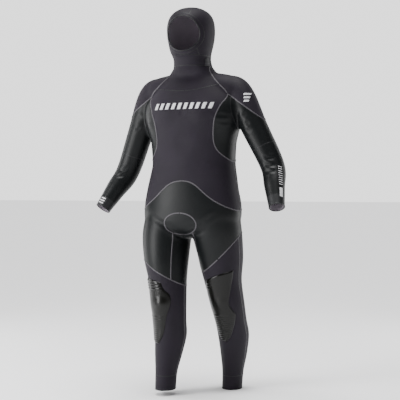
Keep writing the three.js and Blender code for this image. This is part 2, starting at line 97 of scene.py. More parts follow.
def linear(hex_colour):
    """An sRGB hex colour as linear red, green, blue and alpha."""
    parts = [int(hex_colour.lstrip("#")[i : i + 2], 16) / 255 for i in (0, 2, 4)]
    return (*(c / 12.92 if c <= 0.04045 else ((c + 0.055) / 1.055) ** 2.4 for c in parts), 1)


def add(tree, kind, links=None, values=None, **settings):
    """Adds one node: links go input -> output socket, values go input -> constant, the rest are its settings."""
    node = tree.nodes.new(kind)
    for name, value in settings.items():
        setattr(node, name, value)
    for name, value in (values or {}).items():
        node.inputs[name].default_value = value
    for name, socket in (links or {}).items():
        tree.links.new(socket, node.inputs[name])
    return node


def finish(name, colour, other, roughness, scale_mm, bump_mm, weave, sheen=0, coat=0, level=0.5):
    """A material patterned in rows, cells or a grain of scale_mm, and tinted between two near colours."""
    made = bpy.data.materials.get(name)
    if made:
        return made
    made = bpy.data.materials.new(name)
    made.use_nodes = True
    tree = made.node_tree
    tree.nodes.clear()
    place = add(tree, "ShaderNodeTexCoord").outputs["Object"]
    density = 1000 / scale_mm
    if weave == "cells":
        fine = add(tree, "ShaderNodeTexVoronoi", {"Vector": place}, {"Scale": density}).outputs["Distance"]
    elif weave == "rows":
        waves = {"Scale": density / 6.2832 * 2, "Distortion": 1.5, "Detail": 1.0}
        fine = add(tree, "ShaderNodeTexWave", {"Vector": place}, waves, bands_direction="Z").outputs["Fac"]
    else:
        fine = add(tree, "ShaderNodeTexNoise", {"Vector": place}, {"Scale": density, "Detail": 3.0}).outputs["Fac"]
    # A slow unevenness, a hand's breadth across, such as worn foam rubber shows under even light.
    broad = add(tree, "ShaderNodeTexNoise", {"Vector": place}, {"Scale": 9.0, "Detail": 2.0}).outputs["Fac"]
    both = add(tree, "ShaderNodeMath", {0: fine, 1: broad}, operation="MULTIPLY").outputs[0]
    tint = add(tree, "ShaderNodeMix", {0: both}, {6: linear(colour), 7: linear(other)}, data_type="RGBA").outputs[2]
    gloss = add(tree, "ShaderNodeMapRange", {"Value": broad},
                {"To Min": roughness - 0.06, "To Max": roughness + 0.06}).outputs["Result"]
    depth = {"Strength": 0.55, "Distance": bump_mm / 1000}
    raised = add(tree, "ShaderNodeBump", {"Height": fine}, depth).outputs["Normal"]
    shader = add(tree, "ShaderNodeBsdfPrincipled", {"Base Color": tint, "Roughness": gloss, "Normal": raised},
                 {"Sheen Weight": sheen, "Sheen Roughness": 0.45, "Coat Weight": coat, "Coat Roughness": 0.12,
                  "Specular IOR Level": level, "IOR": 1.5})
    add(tree, "ShaderNodeOutputMaterial", {"Surface": shader.outputs["BSDF"]})
    made.diffuse_color = linear(colour)
    return made


def materials():
    """Every finish of the suit, by its short name."""
    c = bpy.context.scene.suit_colours
    return {
        # Nylon jersey laminated on foam neoprene: soft, matt, with a faint nap at grazing light.
        # Its knit is 0.9 mm a course; the rows are drawn at 2.6 mm, or they would not show.
        "jersey": finish("Nylon jersey neoprene, knitted face", c.jersey, c.jersey_light, 0.66, 2.6, 0.25, "rows",
                         sheen=0.03, level=0.2),
        # Embossed smooth-skin neoprene: the foam's own skin, waxy, with a fine pressed mesh drawn at 3.4 mm.
        "smooth": finish("Smooth-skin neoprene, pressed mesh", c.smooth, c.smooth_light, 0.45, 3.4, 0.16, "cells",
                         level=0.2),
        # Compression-moulded rubber: dense, close-grained and glossy.
        "pad": finish("Moulded rubber, gloss", c.pad, c.pad_light, 0.30, 5.0, 0.10, "grain", coat=0.03, level=0.22),
        # Woven polyester seam tape, heat pressed over the join. Its ribs are drawn at 1.8 mm.
        "tape": finish("Polyester seam tape, pressed", c.tape, c.tape_light, 0.55, 1.8, 0.15, "rows", sheen=0.1),
        # Bonded polyester sewing thread, spun, with a slight lustre.
        "thread": finish("Bonded sewing thread", c.thread, c.tape_light, 0.5, 0.8, 0.05, "rows"),
        # Bare glide-skin neoprene of the seals: smooth both sides, so that it lies against skin.
        "seal": finish("Glide-skin neoprene", c.seal, c.smooth_light, 0.5, 6.0, 0.08, "grain", level=0.3),
        # Brushed plush lining inside the suit: a deep soft nap in 4 mm tufts.
        "lining": finish("Plush jersey lining, brushed", c.lining, c.tape_light, 0.85, 4.0, 0.5, "grain",
                         sheen=0.3, level=0.3),
        # Injection-moulded acetal of the zip's teeth, slider and pull: hard and even.
        "acetal": finish("Acetal, injection moulded", c.zip, c.pad_light, 0.30, 8.0, 0.03, "grain", level=0.5),
        # Woven nylon of the zip's tape and the neck tab, in a 2 mm herringbone.
        "webbing": finish("Nylon webbing, woven", c.zip, c.jersey_light, 0.7, 2.0, 0.2, "rows", sheen=0.1),
        # Screen-printed plastisol ink: a thin soft film with tiny pinholes.
        "ink": finish("Plastisol print, screen printed", c.ink, c.tape_light, 0.5, 3.0, 0.04, "grain"),
    }


# ---------------------------------------------------------------- sizes and colours a user may change


def size(name, description, default, low, high):
    """A size that a user may set."""
    return bpy.props.FloatProperty(name=name, description=description, default=default, min=low, max=high)


def colour(name, description, default):
    """A colour that a user may set."""
    return bpy.props.StringProperty(name=name, description=description, default=default)


class SuitSizes(bpy.types.PropertyGroup):
    """Sizes, in millimetres unless they say otherwise."""

    wall: size("Wall", "Thickness of the foam neoprene in mm", 4.0, 2.0, 7.0)
    grid: size("Skin grid", "Spacing of the worn shape's points in mm", 5.5, 4.0, 12.0)
    tape_width: size("Seam tape", "Width of the tape over a seam in mm", 5.6, 4.0, 14.0)
    tape_rise: size("Tape rise", "How far a tape stands proud in mm", 1.3, 0.5, 2.5)
    blind_width: size("Blind seam", "Width of the glued and blind-stitched seams in mm", 4.0, 2.0, 8.0)
    stitch: size("Stitch", "Spacing of the flat-lock stitches in mm", 4.6, 2.5, 10.0)
    roll: size("Hem roll", "Thickness of the rolled edge at an opening in mm", 2.6, 1.5, 5.0)
    tooth: size("Tooth pitch", "Spacing of the zip's teeth in mm", 3.6, 2.0, 6.0)
    pad_rise: size("Knee pad", "Thickness of a knee pad in mm", 4.6, 2.0, 8.0)
    fold: size("Fold depth", "Depth of the creases, 1 is as worn", 1.0, 0.0, 2.0)


class SuitColours(bpy.types.PropertyGroup):
    """Colours, as sRGB hex."""

    jersey: colour("Jersey", "Charcoal plum of the jersey panels", "#120e16")
    jersey_light: colour("Jersey, light", "Lighter yarn of the jersey", "#241c29")
    smooth: colour("Smooth skin", "Near black of the smooth-skin panels", "#050708")
    smooth_light: colour("Smooth skin, light", "Worn places of the smooth skin", "#0d1012")
    pad: colour("Knee pads", "Olive black of the moulded pads", "#060605")
    pad_light: colour("Knee pads, light", "Lighter places of the pads", "#0e0e0a")
    tape: colour("Seam tape", "Grey of the tapes", "#302e32")
    tape_light: colour("Seam tape, light", "Lighter yarn of the tapes", "#545056")
    thread: colour("Thread", "Grey of the stitches", "#454147")
    seal: colour("Seals", "Black of the wrist seals and rolled hems", "#141517")
    lining: colour("Lining", "Plum grey of the plush inside", "#8a828c")
    zip: colour("Zip", "Black of the zip", "#191a1c")
    ink: colour("Print", "White of the printed bars", "#e4e4e6")


# ---------------------------------------------------------------- the worn shape

# Trunk and hood: height, middle y, half width, half depth. The back runs straight along the zip.
TRUNK = [
    (690, 0, 70, 58), (715, 3, 150, 110), (760, 5, 214, 141), (830, 8, 220, 146), (900, 7, 208, 139),
    (954, 14, 199, 132), (1010, 20, 190, 126), (1072, 19, 192, 127), (1111, 18, 196, 128), (1151, 16, 207, 130),
    (1190, 14, 218, 132), (1230, 13, 222, 133), (1278, 18, 216, 128), (1340, 32, 178, 114), (1390, 30, 133, 84),
    (1415, 22, 104, 80), (1435, 14, 86, 85), (1468, 3, 80, 86), (1480, 2, 80, 86),
]
HOOD = [
    (1435, 14, 86, 85), (1468, 3, 80, 86), (1502, -12, 89, 100), (1534, -12, 96, 111), (1569, -12, 101, 120),
    (1609, -12, 102, 121), (1645, -9, 95, 113), (1672, -5, 78, 92), (1690, -1, 51, 61), (1698, 1, 26, 30),
]
# Shoulders: distance from the middle, y, height, half depth, half height
SHOULDER_BAR = [
    (0, 24, 1347, 78, 63), (81, 27, 1350, 75, 64), (146, 29, 1344, 72, 62), (191, 30, 1332, 66, 61),
    (228, 30, 1318, 47, 46),
]
# Legs: how far down (1 at the knee, 2 at the hem), then the half width and depth, and the middle, at each
THIGH_TOP = 790
LEG_SHARE = [0, 0.23, 0.49, 0.74, 1, 1.2, 1.375, 1.6, 1.8, 2]
LEG_HALF = [(110, 122), (108, 120), (98, 109), (83, 92), (75, 84), (70, 82), (69, 81), (59, 69), (48, 56), (45, 53)]
LEG_LINE = {
    "right": [
        (-105, 5), (-112, -18), (-104, -45), (-91, -60), (-82, -66), (-80, -60), (-81, -50), (-90, -54), (-97, -62),
        (-100, -66),
    ],
    "left": [
        (105, 5), (114, 15), (121, 38), (127, 48), (142, 66), (146, 98), (146, 134), (139, 158), (131, 168),
        (126, 170),
    ],
}
HEM = {"left": 0, "right": 25}
KNEE_Z = 398
# Sleeves: how far along, and the radius there; then how each arm is held, in degrees out and forward, above and
# below the elbow
ARM_RADII = [(0, 50), (0.14, 64), (0.36, 58), (0.652, 53), (0.774, 49), (1, 34)]
SHOULDER = {s: own(JOINTS["shoulder_" + s]["pos_m"]) for s in SIGN}
ELBOW = {s: own(JOINTS["elbow_" + s]["pos_m"]) for s in SIGN}
ARM_POSE = {"left": (27, 3, 16, 28), "right": (19, 3, 25, 27)}
FOREARM = 208
CUFF = 42
PAST_HEM, PAST_CUFF = 32, 40


def held_out(side, out, fore):
    """The direction of an arm held so many degrees out from the body and forward."""
    out, fore = math.radians(out), math.radians(fore)
    return np.array([SIGN[side] * math.sin(out) * math.cos(fore), -math.sin(fore), -math.cos(out) * math.cos(fore)])


UPPER = {s: held_out(s, *ARM_POSE[s][:2]) for s in SIGN}
LOWER = {s: held_out(s, *ARM_POSE[s][2:]) for s in SIGN}
CUFF_END = {s: ELBOW[s] + LOWER[s] * FOREARM for s in SIGN}


def flowing(rows, count):
    """The rows of a table, read along a smooth curve through them, count times."""
    rows = np.array(rows, float)
    slope = np.gradient(rows, axis=0)
    at_row = np.linspace(0, len(rows) - 1, count)
    i = np.minimum(at_row.astype(int), len(rows) - 2)
    t = (at_row - i)[:, None]
    a, b, m, n = rows[i], rows[i + 1], slope[i], slope[i + 1]
    return (2 * t**3 - 3 * t**2 + 1) * a + (t**3 - 2 * t**2 + t) * m + (3 * t**2 - 2 * t**3) * b + (t**3 - t**2) * n


def ring(centre, across, up, half, square=2.0, sides=64):
    """A rounded ring of points; square over 2 makes its corners fuller."""
    turn = np.linspace(0, 2 * np.pi, sides, endpoint=False)
    c, s = np.cos(turn), np.sin(turn)
    reach = (np.abs(c) ** square + np.abs(s) ** square) ** (-1 / square)
    return centre + (c * reach * half[0])[:, None] * across + (s * reach * half[1])[:, None] * up


def tube(rings):
    """Points and faces of a closed tube through rings."""
    sides, count = len(rings[0]), len(rings)
    points = np.vstack([*rings, rings[0].mean(0)[None], rings[-1].mean(0)[None]])
    faces = []
    for r in range(count - 1):
        for i in range(sides):
            j = (i + 1) % sides
            faces.append((r * sides + i, r * sides + j, (r + 1) * sides + j, (r + 1) * sides + i))
    low, high = count * sides, count * sides + 1
    for i in range(sides):
        j = (i + 1) % sides
        faces.append((low, j, i))
        faces.append((high, (count - 1) * sides + i, (count - 1) * sides + j))
    return points, faces


def level_tube(rows, square=2.0):
    """A tube through level rings; each row is a height, middle y, half width, half depth and middle x."""
    rings = []
    for row in rows:
        x, (z, y, half_x, half_y) = (row[4] if len(row) > 4 else 0), row[:4]
        rings.append(ring(np.array([x, y, z]), X_AXIS, Y_AXIS, (half_x, half_y), square))
    return tube(rings)


def arm_tube(side):
    """One sleeve, along a bent line from the shoulder past the cuff."""
    s, e, c = SHOULDER[side], ELBOW[side], CUFF_END[side]
    start = np.array([s[0] * 0.72, s[1], s[2] + 20])
    line = flowing([start, s, (s + e) / 2, e, (e + c) / 2, c, c + LOWER[side] * PAST_CUFF], 70)
    run = np.concatenate([[0], np.cumsum(np.linalg.norm(np.diff(line, axis=0), axis=1))])
    share = run / (run[-1] - PAST_CUFF)
    radius = np.interp(share, *zip(*ARM_RADII))
    radius = np.convolve(np.pad(radius, 3, mode="edge"), np.ones(7) / 7, mode="valid")
    rings = []
    for i, p in enumerate(line):
        along = line[min(i + 1, len(line) - 1)] - line[max(i - 1, 0)]
        along /= np.linalg.norm(along)
        across = np.cross(along, [0, -1, 0])
        across /= np.linalg.norm(across)
        rings.append(ring(p, across, np.cross(across, along), (radius[i], radius[i])))
    return tube(rings)


def leg_heights(side):
    """The height of each row of the leg's tables."""
    shin = HEM[side] - KNEE_Z
    return [THIGH_TOP + (KNEE_Z - THIGH_TOP) * s if s < 1 else KNEE_Z + shin * (s - 1) for s in LEG_SHARE]


def leg_tube(side):
    """One leg, down past its hem."""
    rows = [(z, y, half_x, half_y, x)
            for z, (x, y), (half_x, half_y) in zip(leg_heights(side), LEG_LINE[side], LEG_HALF)]
    rows.append((HEM[side] - PAST_HEM, *rows[-1][1:]))
    return level_tube(flowing(rows, 90))


def bar_tube():
    """The shoulders, as one bar from arm to arm through the neck."""
    rows = [(-x, y, z, a, u) for x, y, z, a, u in reversed(SHOULDER_BAR)] + SHOULDER_BAR[1:]
    return tube([ring(np.array([x, y, z]), Y_AXIS, Z_AXIS, (half_y, half_z))
                 for x, y, z, half_y, half_z in flowing(rows, 48)])


def new_mesh(name, points, faces, edges=()):
    """A mesh from points in the suit's own millimetres."""
    mesh = bpy.data.meshes.new(name)
    placed = (HOME + np.asarray(points) * 0.001).tolist()
    mesh.from_pydata(placed, [tuple(e) for e in edges], [tuple(f) for f in faces])
    mesh.update()
    return mesh


def new_object(name, mesh):
    """An object for the mesh, in the scene."""
    made = bpy.data.objects.new(name, mesh)
    bpy.context.scene.collection.objects.link(made)
    return made


def applied(obj, name):
    """The object as its modifiers leave it, as a plain mesh in a new object; the old one goes."""
    bpy.context.view_layer.update()
    graph = bpy.context.evaluated_depsgraph_get()
    mesh = bpy.data.meshes.new_from_object(obj.evaluated_get(graph))
    old = obj.data
    bpy.data.objects.remove(obj)
    if old and old.users == 0:
        (bpy.data.meshes if isinstance(old, bpy.types.Mesh) else bpy.data.curves).remove(old)
    mesh.name = name
    return new_object(name, mesh)


# ---------------------------------------------------------------- the skin and its seams

# Creases of the worn foam: from, to, half width, depth, in millimetres.
CREASES = [
    ((196, -78, 1216), (128, -126, 1232), 10, 5.0), ((206, -60, 1190), (136, -124, 1196), 9, 4.5),
    ((212, -50, 1168), (150, -112, 1158), 8, 3.5), ((200, -84, 1246), (150, -120, 1268), 9, 3.5),
    ((206, -74, 1232), (262, -42, 1222), 9, 5.5), ((214, -66, 1206), (276, -40, 1182), 8, 4.5),
    ((222, -52, 1180), (286, -38, 1150), 7, 3.5), ((202, -82, 1262), (240, -50, 1276), 9, 3.0),
    ((-200, -74, 1222), (-136, -124, 1240), 9, 3.0), ((-204, -60, 1186), (-148, -116, 1180), 8, 2.5),
    ((-204, -70, 1236), (-246, -38, 1222), 8, 3.5), ((-212, -52, 1196), (-258, -34, 1166), 7, 2.5),
    ((336, -48, 1016), (392, -36, 1000), 8, 3.0), ((338, -50, 990), (398, -56, 978), 8, 3.0),
    ((344, -46, 1040), (388, -28, 1036), 7, 2.0), ((-292, -42, 1000), (-350, -36, 984), 8, 2.5),
    ((-298, -48, 974), (-356, -52, 960), 7, 2.5), ((24, -96, 716), (92, -112, 752), 9, 4.0),
    ((14, -86, 702), (88, -104, 722), 8, 3.5), ((-24, -96, 716), (-96, -116, 748), 9, 3.5),
    ((-14, -86, 702), (-96, -110, 716), 8, 3.0), ((52, -122, 744), (150, -116, 792), 10, 2.5),
    ((-52, -122, 742), (-150, -118, 790), 10, 2.0), ((-150, -96, 1012), (-60, -126, 998), 10, 1.8),
    ((150, -92, 1020), (56, -126, 1006), 10, 1.8), ((168, -80, 1046), (90, -124, 1040), 8, 1.5),
    ((150, 122, 1010), (40, 146, 1000), 10, 2.4), ((-150, 122, 1016), (-40, 146, 1008), 10, 2.4),
    ((120, 136, 960), (30, 146, 966), 9, 1.8), ((-120, 136, 960), (-30, 146, 966), 9, 1.8),
    ((206, 96, 1214), (140, 138, 1226), 9, 3.5), ((-206, 96, 1214), (-140, 138, 1226), 9, 3.5),
    ((210, 84, 1188), (150, 134, 1184), 8, 3.0), ((-210, 84, 1188), (-150, 134, 1184), 8, 3.0),
    ((30, 130, 718), (160, 128, 726), 9, 4.0), ((-30, 116, 712), (-160, 118, 722), 9, 4.0),
    ((40, 140, 700), (150, 142, 698), 8, 2.0), ((92, 150, 414), (190, 150, 408), 8, 3.5),
    ((94, 156, 392), (190, 156, 390), 7, 3.0), ((96, 158, 372), (186, 156, 366), 8, 2.0),
    ((-130, 14, 412), (-38, 14, 408), 8, 3.5), ((-128, 18, 390), (-40, 18, 388), 7, 3.0),
    ((-126, 20, 370), (-42, 20, 366), 8, 2.0), ((-60, -88, 1444), (40, -90, 1436), 8, 2.0),
    ((-70, -70, 1500), (60, -92, 1506), 7, 3.0), ((60, -60, 1440), (86, 10, 1450), 7, 2.0),
]
# Broad forms of the body under the foam: centre, reach, rise.
FORMS = [
    ((92, -118, 1232), 74, 7), ((-92, -118, 1232), 74, 7), ((0, -134, 1232), 26, -5), ((0, -126, 1090), 60, -3),
    ((92, 128, 806), 88, 13), ((-92, 128, 806), 88, 13), ((0, 146, 806), 58, -6), ((96, 132, 1262), 80, 5),
    ((-96, 132, 1262), 80, 5), ((0, -120, 1010), 90, 4), ((140, 170, 285), 60, 7), ((-84, 14, 285), 60, 7),
    ((148, -14, 404), 38, 4), ((-84, -150, 404), 38, 4), ((0, -124, 1502), 34, 4), ((0, 108, 1560), 60, 3),
]


def seam_line(points, table, soft=24):
    """The value of a two-column table at each point, its corners rounded over `soft` mm each way."""
    rows = np.array(table, float).T
    weights = {-1: 0.12, -0.6: 0.2, -0.2: 0.18, 0.2: 0.18, 0.6: 0.2, 1: 0.12}
    return sum(w * np.interp(points + k * soft, *rows) for k, w in weights.items())


class Skin:
    """The worn surface: points, their smooth normals, triangles, and the panel each triangle is in."""

    def __init__(self, points, triangles):
        self.points, self.triangles = points, triangles
        self.names = ["suit"]
        self.panel = np.zeros(len(triangles), int)
        self.normals = self.smooth_normals()

    def smooth_normals(self):
        """Each point's normal, from the triangles round it."""
        a, b, c = (self.points[self.triangles[:, k]] for k in range(3))
        face = np.cross(b - a, c - a)
        total = np.zeros_like(self.points)
        for k in range(3):
            for axis in range(3):
                total[:, axis] += np.bincount(self.triangles[:, k], face[:, axis], len(self.points))
        return total / np.maximum(np.linalg.norm(total, axis=1, keepdims=True), 1e-9)

    def code(self, name):
        """The number of a panel's name."""
        if name not in self.names:
            self.names.append(name)
        return self.names.index(name)

    def cut(self, value, chosen, name):
        """Cuts the chosen panels along the line where value is 0; their part above 0 is renamed.
        A name that ends in * keeps the panel's own name before it."""
        v = np.asarray(value(self.points), float)
        v = np.where(np.abs(v) < 1e-4, 1e-4, v)
        above = v > 0
        picked = np.isin(self.panel, [self.names.index(n) for n in chosen if n in self.names])
        count = above[self.triangles].sum(1)
        mixed = picked & (count > 0) & (count < 3)
        plain = self.triangles[~mixed]
        plain_panel = self.panel[~mixed].copy()
        t, panel = self.triangles[mixed], self.panel[mixed]
        lone_side = above[t].sum(1) == 1
        lone = np.argmax(above[t] == lone_side[:, None], axis=1)
        t = np.take_along_axis(t, (lone[:, None] + np.arange(3)) % 3, axis=1)
        pairs = np.sort(np.vstack([t[:, [0, 1]], t[:, [0, 2]]]), axis=1)
        edges, where = np.unique(pairs, axis=0, return_inverse=True)
        where = where.reshape(-1)
        a, b = edges[:, 0], edges[:, 1]
        share = (v[a] / (v[a] - v[b]))[:, None]
        points = self.points[a] * (1 - share) + self.points[b] * share
        normals = self.normals[a] * (1 - share) + self.normals[b] * share
        normals /= np.linalg.norm(normals, axis=1, keepdims=True)
        first = len(self.points)
        ab, ac = first + where[: len(t)], first + where[len(t) :]
        tip = np.stack([t[:, 0], ab, ac], 1)
        base_1, base_2 = np.stack([ab, t[:, 1], t[:, 2]], 1), np.stack([ab, t[:, 2], ac], 1)
        self.points, self.normals = np.vstack([self.points, points]), np.vstack([self.normals, normals])
        self.triangles = np.vstack([plain, tip, base_1, base_2])
        side = np.concatenate([above[plain[:, 0]] & picked[~mixed], lone_side, ~lone_side, ~lone_side])
        self.panel = np.concatenate([plain_panel, panel, panel, panel])
        for old in np.unique(self.panel[side]):
            new = name.replace("*", self.names[old])
            self.panel[side & (self.panel == old)] = self.code(new)

    def drop(self, *names):
        """Takes panels away."""
        keep = ~np.isin(self.panel, [self.names.index(n) for n in names if n in self.names])
        self.triangles, self.panel = self.triangles[keep], self.panel[keep]

    def faces_of(self, name):
        """A panel's triangles."""
        return self.triangles[self.panel == self.names.index(name)]


def worn_shape(grid):
    """The closed body, fused from its tubes, smoothed and creased."""
    parts = [level_tube(flowing(TRUNK, 150), 2.25), level_tube(flowing(HOOD, 90), 2.1), bar_tube()]
    parts += [arm_tube(s) for s in SIGN] + [leg_tube(s) for s in SIGN]
    points, faces, start = [], [], 0
    for p, f in parts:
        points.append(p)
        faces += [tuple(i + start for i in face) for face in f]
        start += len(p)
    rough = new_object("worn_shape", new_mesh("worn_shape", np.vstack(points), faces))
    fuse = rough.modifiers.new("fuse", "REMESH")
    fuse.mode = "VOXEL"
    fuse.voxel_size = grid / 1000
    fused = applied(rough, "fused_shape")
    mesh = fused.data
    mesh.calc_loop_triangles()
    co = np.empty(len(mesh.vertices) * 3)
    mesh.vertices.foreach_get("co", co)
    points = (co.reshape(-1, 3) - HOME) * 1000
    triangles = np.empty(len(mesh.loop_triangles) * 3, int)
    mesh.loop_triangles.foreach_get("vertices", triangles)
    triangles = triangles.reshape(-1, 3)
    ends = np.empty(len(mesh.edges) * 2, int)
    mesh.edges.foreach_get("vertices", ends)
    ends = ends.reshape(-1, 2)
    bpy.data.objects.remove(fused)
    bpy.data.meshes.remove(mesh)
    both = np.vstack([ends, ends[:, ::-1]])
    near = np.bincount(both[:, 0], minlength=len(points)).clip(1)[:, None]

    def even(values):  # the mean of each point's neighbours
        total = np.stack([np.bincount(both[:, 0], values[both[:, 1], k], len(points)) for k in range(3)], 1)
        return total / near

    # Smoothed and swelled in turn, which evens the voxels' steps and keeps the volume; then a last light pass.
    for _ in range(16):
        points = points + 0.6 * (even(points) - points)
        points = points - 0.5 * (even(points) - points)
    for _ in range(3):
        points = points + 0.5 * (even(points) - points)
    skin = Skin(points, triangles)
    shape_forms(skin)
    return skin


def shape_forms(skin):
    """Raises the body's broad forms under the foam and presses its creases in."""
    depth = bpy.context.scene.suit_sizes.fold
    p, n = skin.points, skin.normals
    rise = np.zeros(len(p))
    for centre, reach, height in FORMS:
        away = np.linalg.norm(p - np.array(centre), axis=1) / reach
        rise += height * np.clip(1 - away**2, 0, 1) ** 2
    for start, end, width, deep in CREASES:
        a, b = np.array(start, float), np.array(end, float)
        t = ((p - a) @ (b - a)) / ((b - a) @ (b - a))
        bow = np.sin(np.clip(t, 0, 1) * np.pi) * 6
        foot = a + np.clip(t, 0, 1)[:, None] * (b - a)
        gap = p - foot
        # A crease sags a little in its middle, and swells on both sides.
        gap[:, 2] += bow
        away = np.linalg.norm(gap, axis=1) / width
        ends = np.clip(1.25 - np.abs(2 * t - 1), 0, 1) ** 0.8
        rise += depth * deep * ends * (-np.exp(-(away**2)) + 0.62 * np.exp(-((away - 1.9) ** 2) * 1.4))
    skin.points = p + n * rise[:, None]
    skin.normals = skin.smooth_normals()


FACE_Z, FACE_HALF, SEAL_WIDTH = 1572, (76, 76), 11
FACE_BACK = -15  # the face opening is cut only in front of this y
HOOD_FROM, NECK_TOP = 1439, 1481  # the neck panel's lower and upper seam
CHIN_HALF, CROWN_HALF = 61, 32  # half widths of the chin panel and of the strip over the crown
SIDE_Y = 12  # the side seams of trunk and hips stand here, between front and back
ELBOW_SEAM = {"left": 87, "right": 72}  # how far above the elbow the two sleeve panels meet
ANKLE_SEAL = 62
GUSSET_MIDDLE, GUSSET_HALF, GUSSET_BACK = (-4, 752), (74, 47), 42
INNER_THIGH_HALF, INNER_THIGH_TOP = 42, 720
# Seams, each as pairs of what is read off and the height or distance there.
# Raglan, then down the front edge of the side panel: height -> distance from the middle
RAGLAN = [
    (740, 600), (741, 240), (985, 240), (1003, 210), (1062, 147), (1084, 135), (1124, 131), (1195, 139), (1270, 166),
    (1310, 192), (1345, 152), (1385, 114), (1413, 88), (1439, 84), (1800, 84),
]
# Lower edge of the shoulder cap: distance from the middle -> height
SLEEVE_TOP = [(0, 1345), (150, 1335), (205, 1294), (285, 1236), (340, 1194), (420, 1128), (600, 980)]
# Where sleeve and side panel meet: height -> distance from the middle
ARMHOLE = {
    "left": [(700, 250), (1000, 240), (1120, 225), (1185, 211), (1230, 203), (1310, 190), (1400, 190)],
    "right": [(700, 250), (1000, 240), (1060, 219), (1120, 209), (1150, 206), (1230, 200), (1310, 190), (1400, 190)],
}
# Arch of the waist, then the yoke: distance from the middle -> height
WAIST = [(0, 938), (50, 931), (85, 902), (125, 864), (175, 832), (225, 806), (260, 790)]
YOKE = [(-300, 1362), (-150, 1343), (-60, 1331), (0, 1327), (60, 1332), (150, 1358), (300, 1380)]
# Slanted seams round the thighs: distance across the front three-quarter view -> height
THIGH = {
    "right": [(-300, 640), (-218, 600), (-177, 558), (-97, 513), (-23, 478), (40, 450)],
    "left": [(-40, 470), (51, 541), (92, 580), (124, 612), (207, 700), (250, 745), (320, 800)],
}
# The way the legs' front panels face, in degrees round from the front
LEG_FACES = {"left": -13, "right": -6}
CAMERA_TURN = 22
SPLIT_Z = 600  # each thigh is all one body here, between the bend of the hip and that of the knee


def across_view(p):
    """How far a point stands across, seen from the front three-quarter that the thigh seams are drawn from."""
    turn = math.radians(CAMERA_TURN)
    return p[:, 0] * math.cos(turn) + p[:, 1] * math.sin(turn)


def leg_middle(side, z):
    """The x and y of the leg's middle line at a height."""
    return [np.interp(z, leg_heights(side)[::-1], [p[k] for p in LEG_LINE[side]][::-1]) for k in (0, 1)]


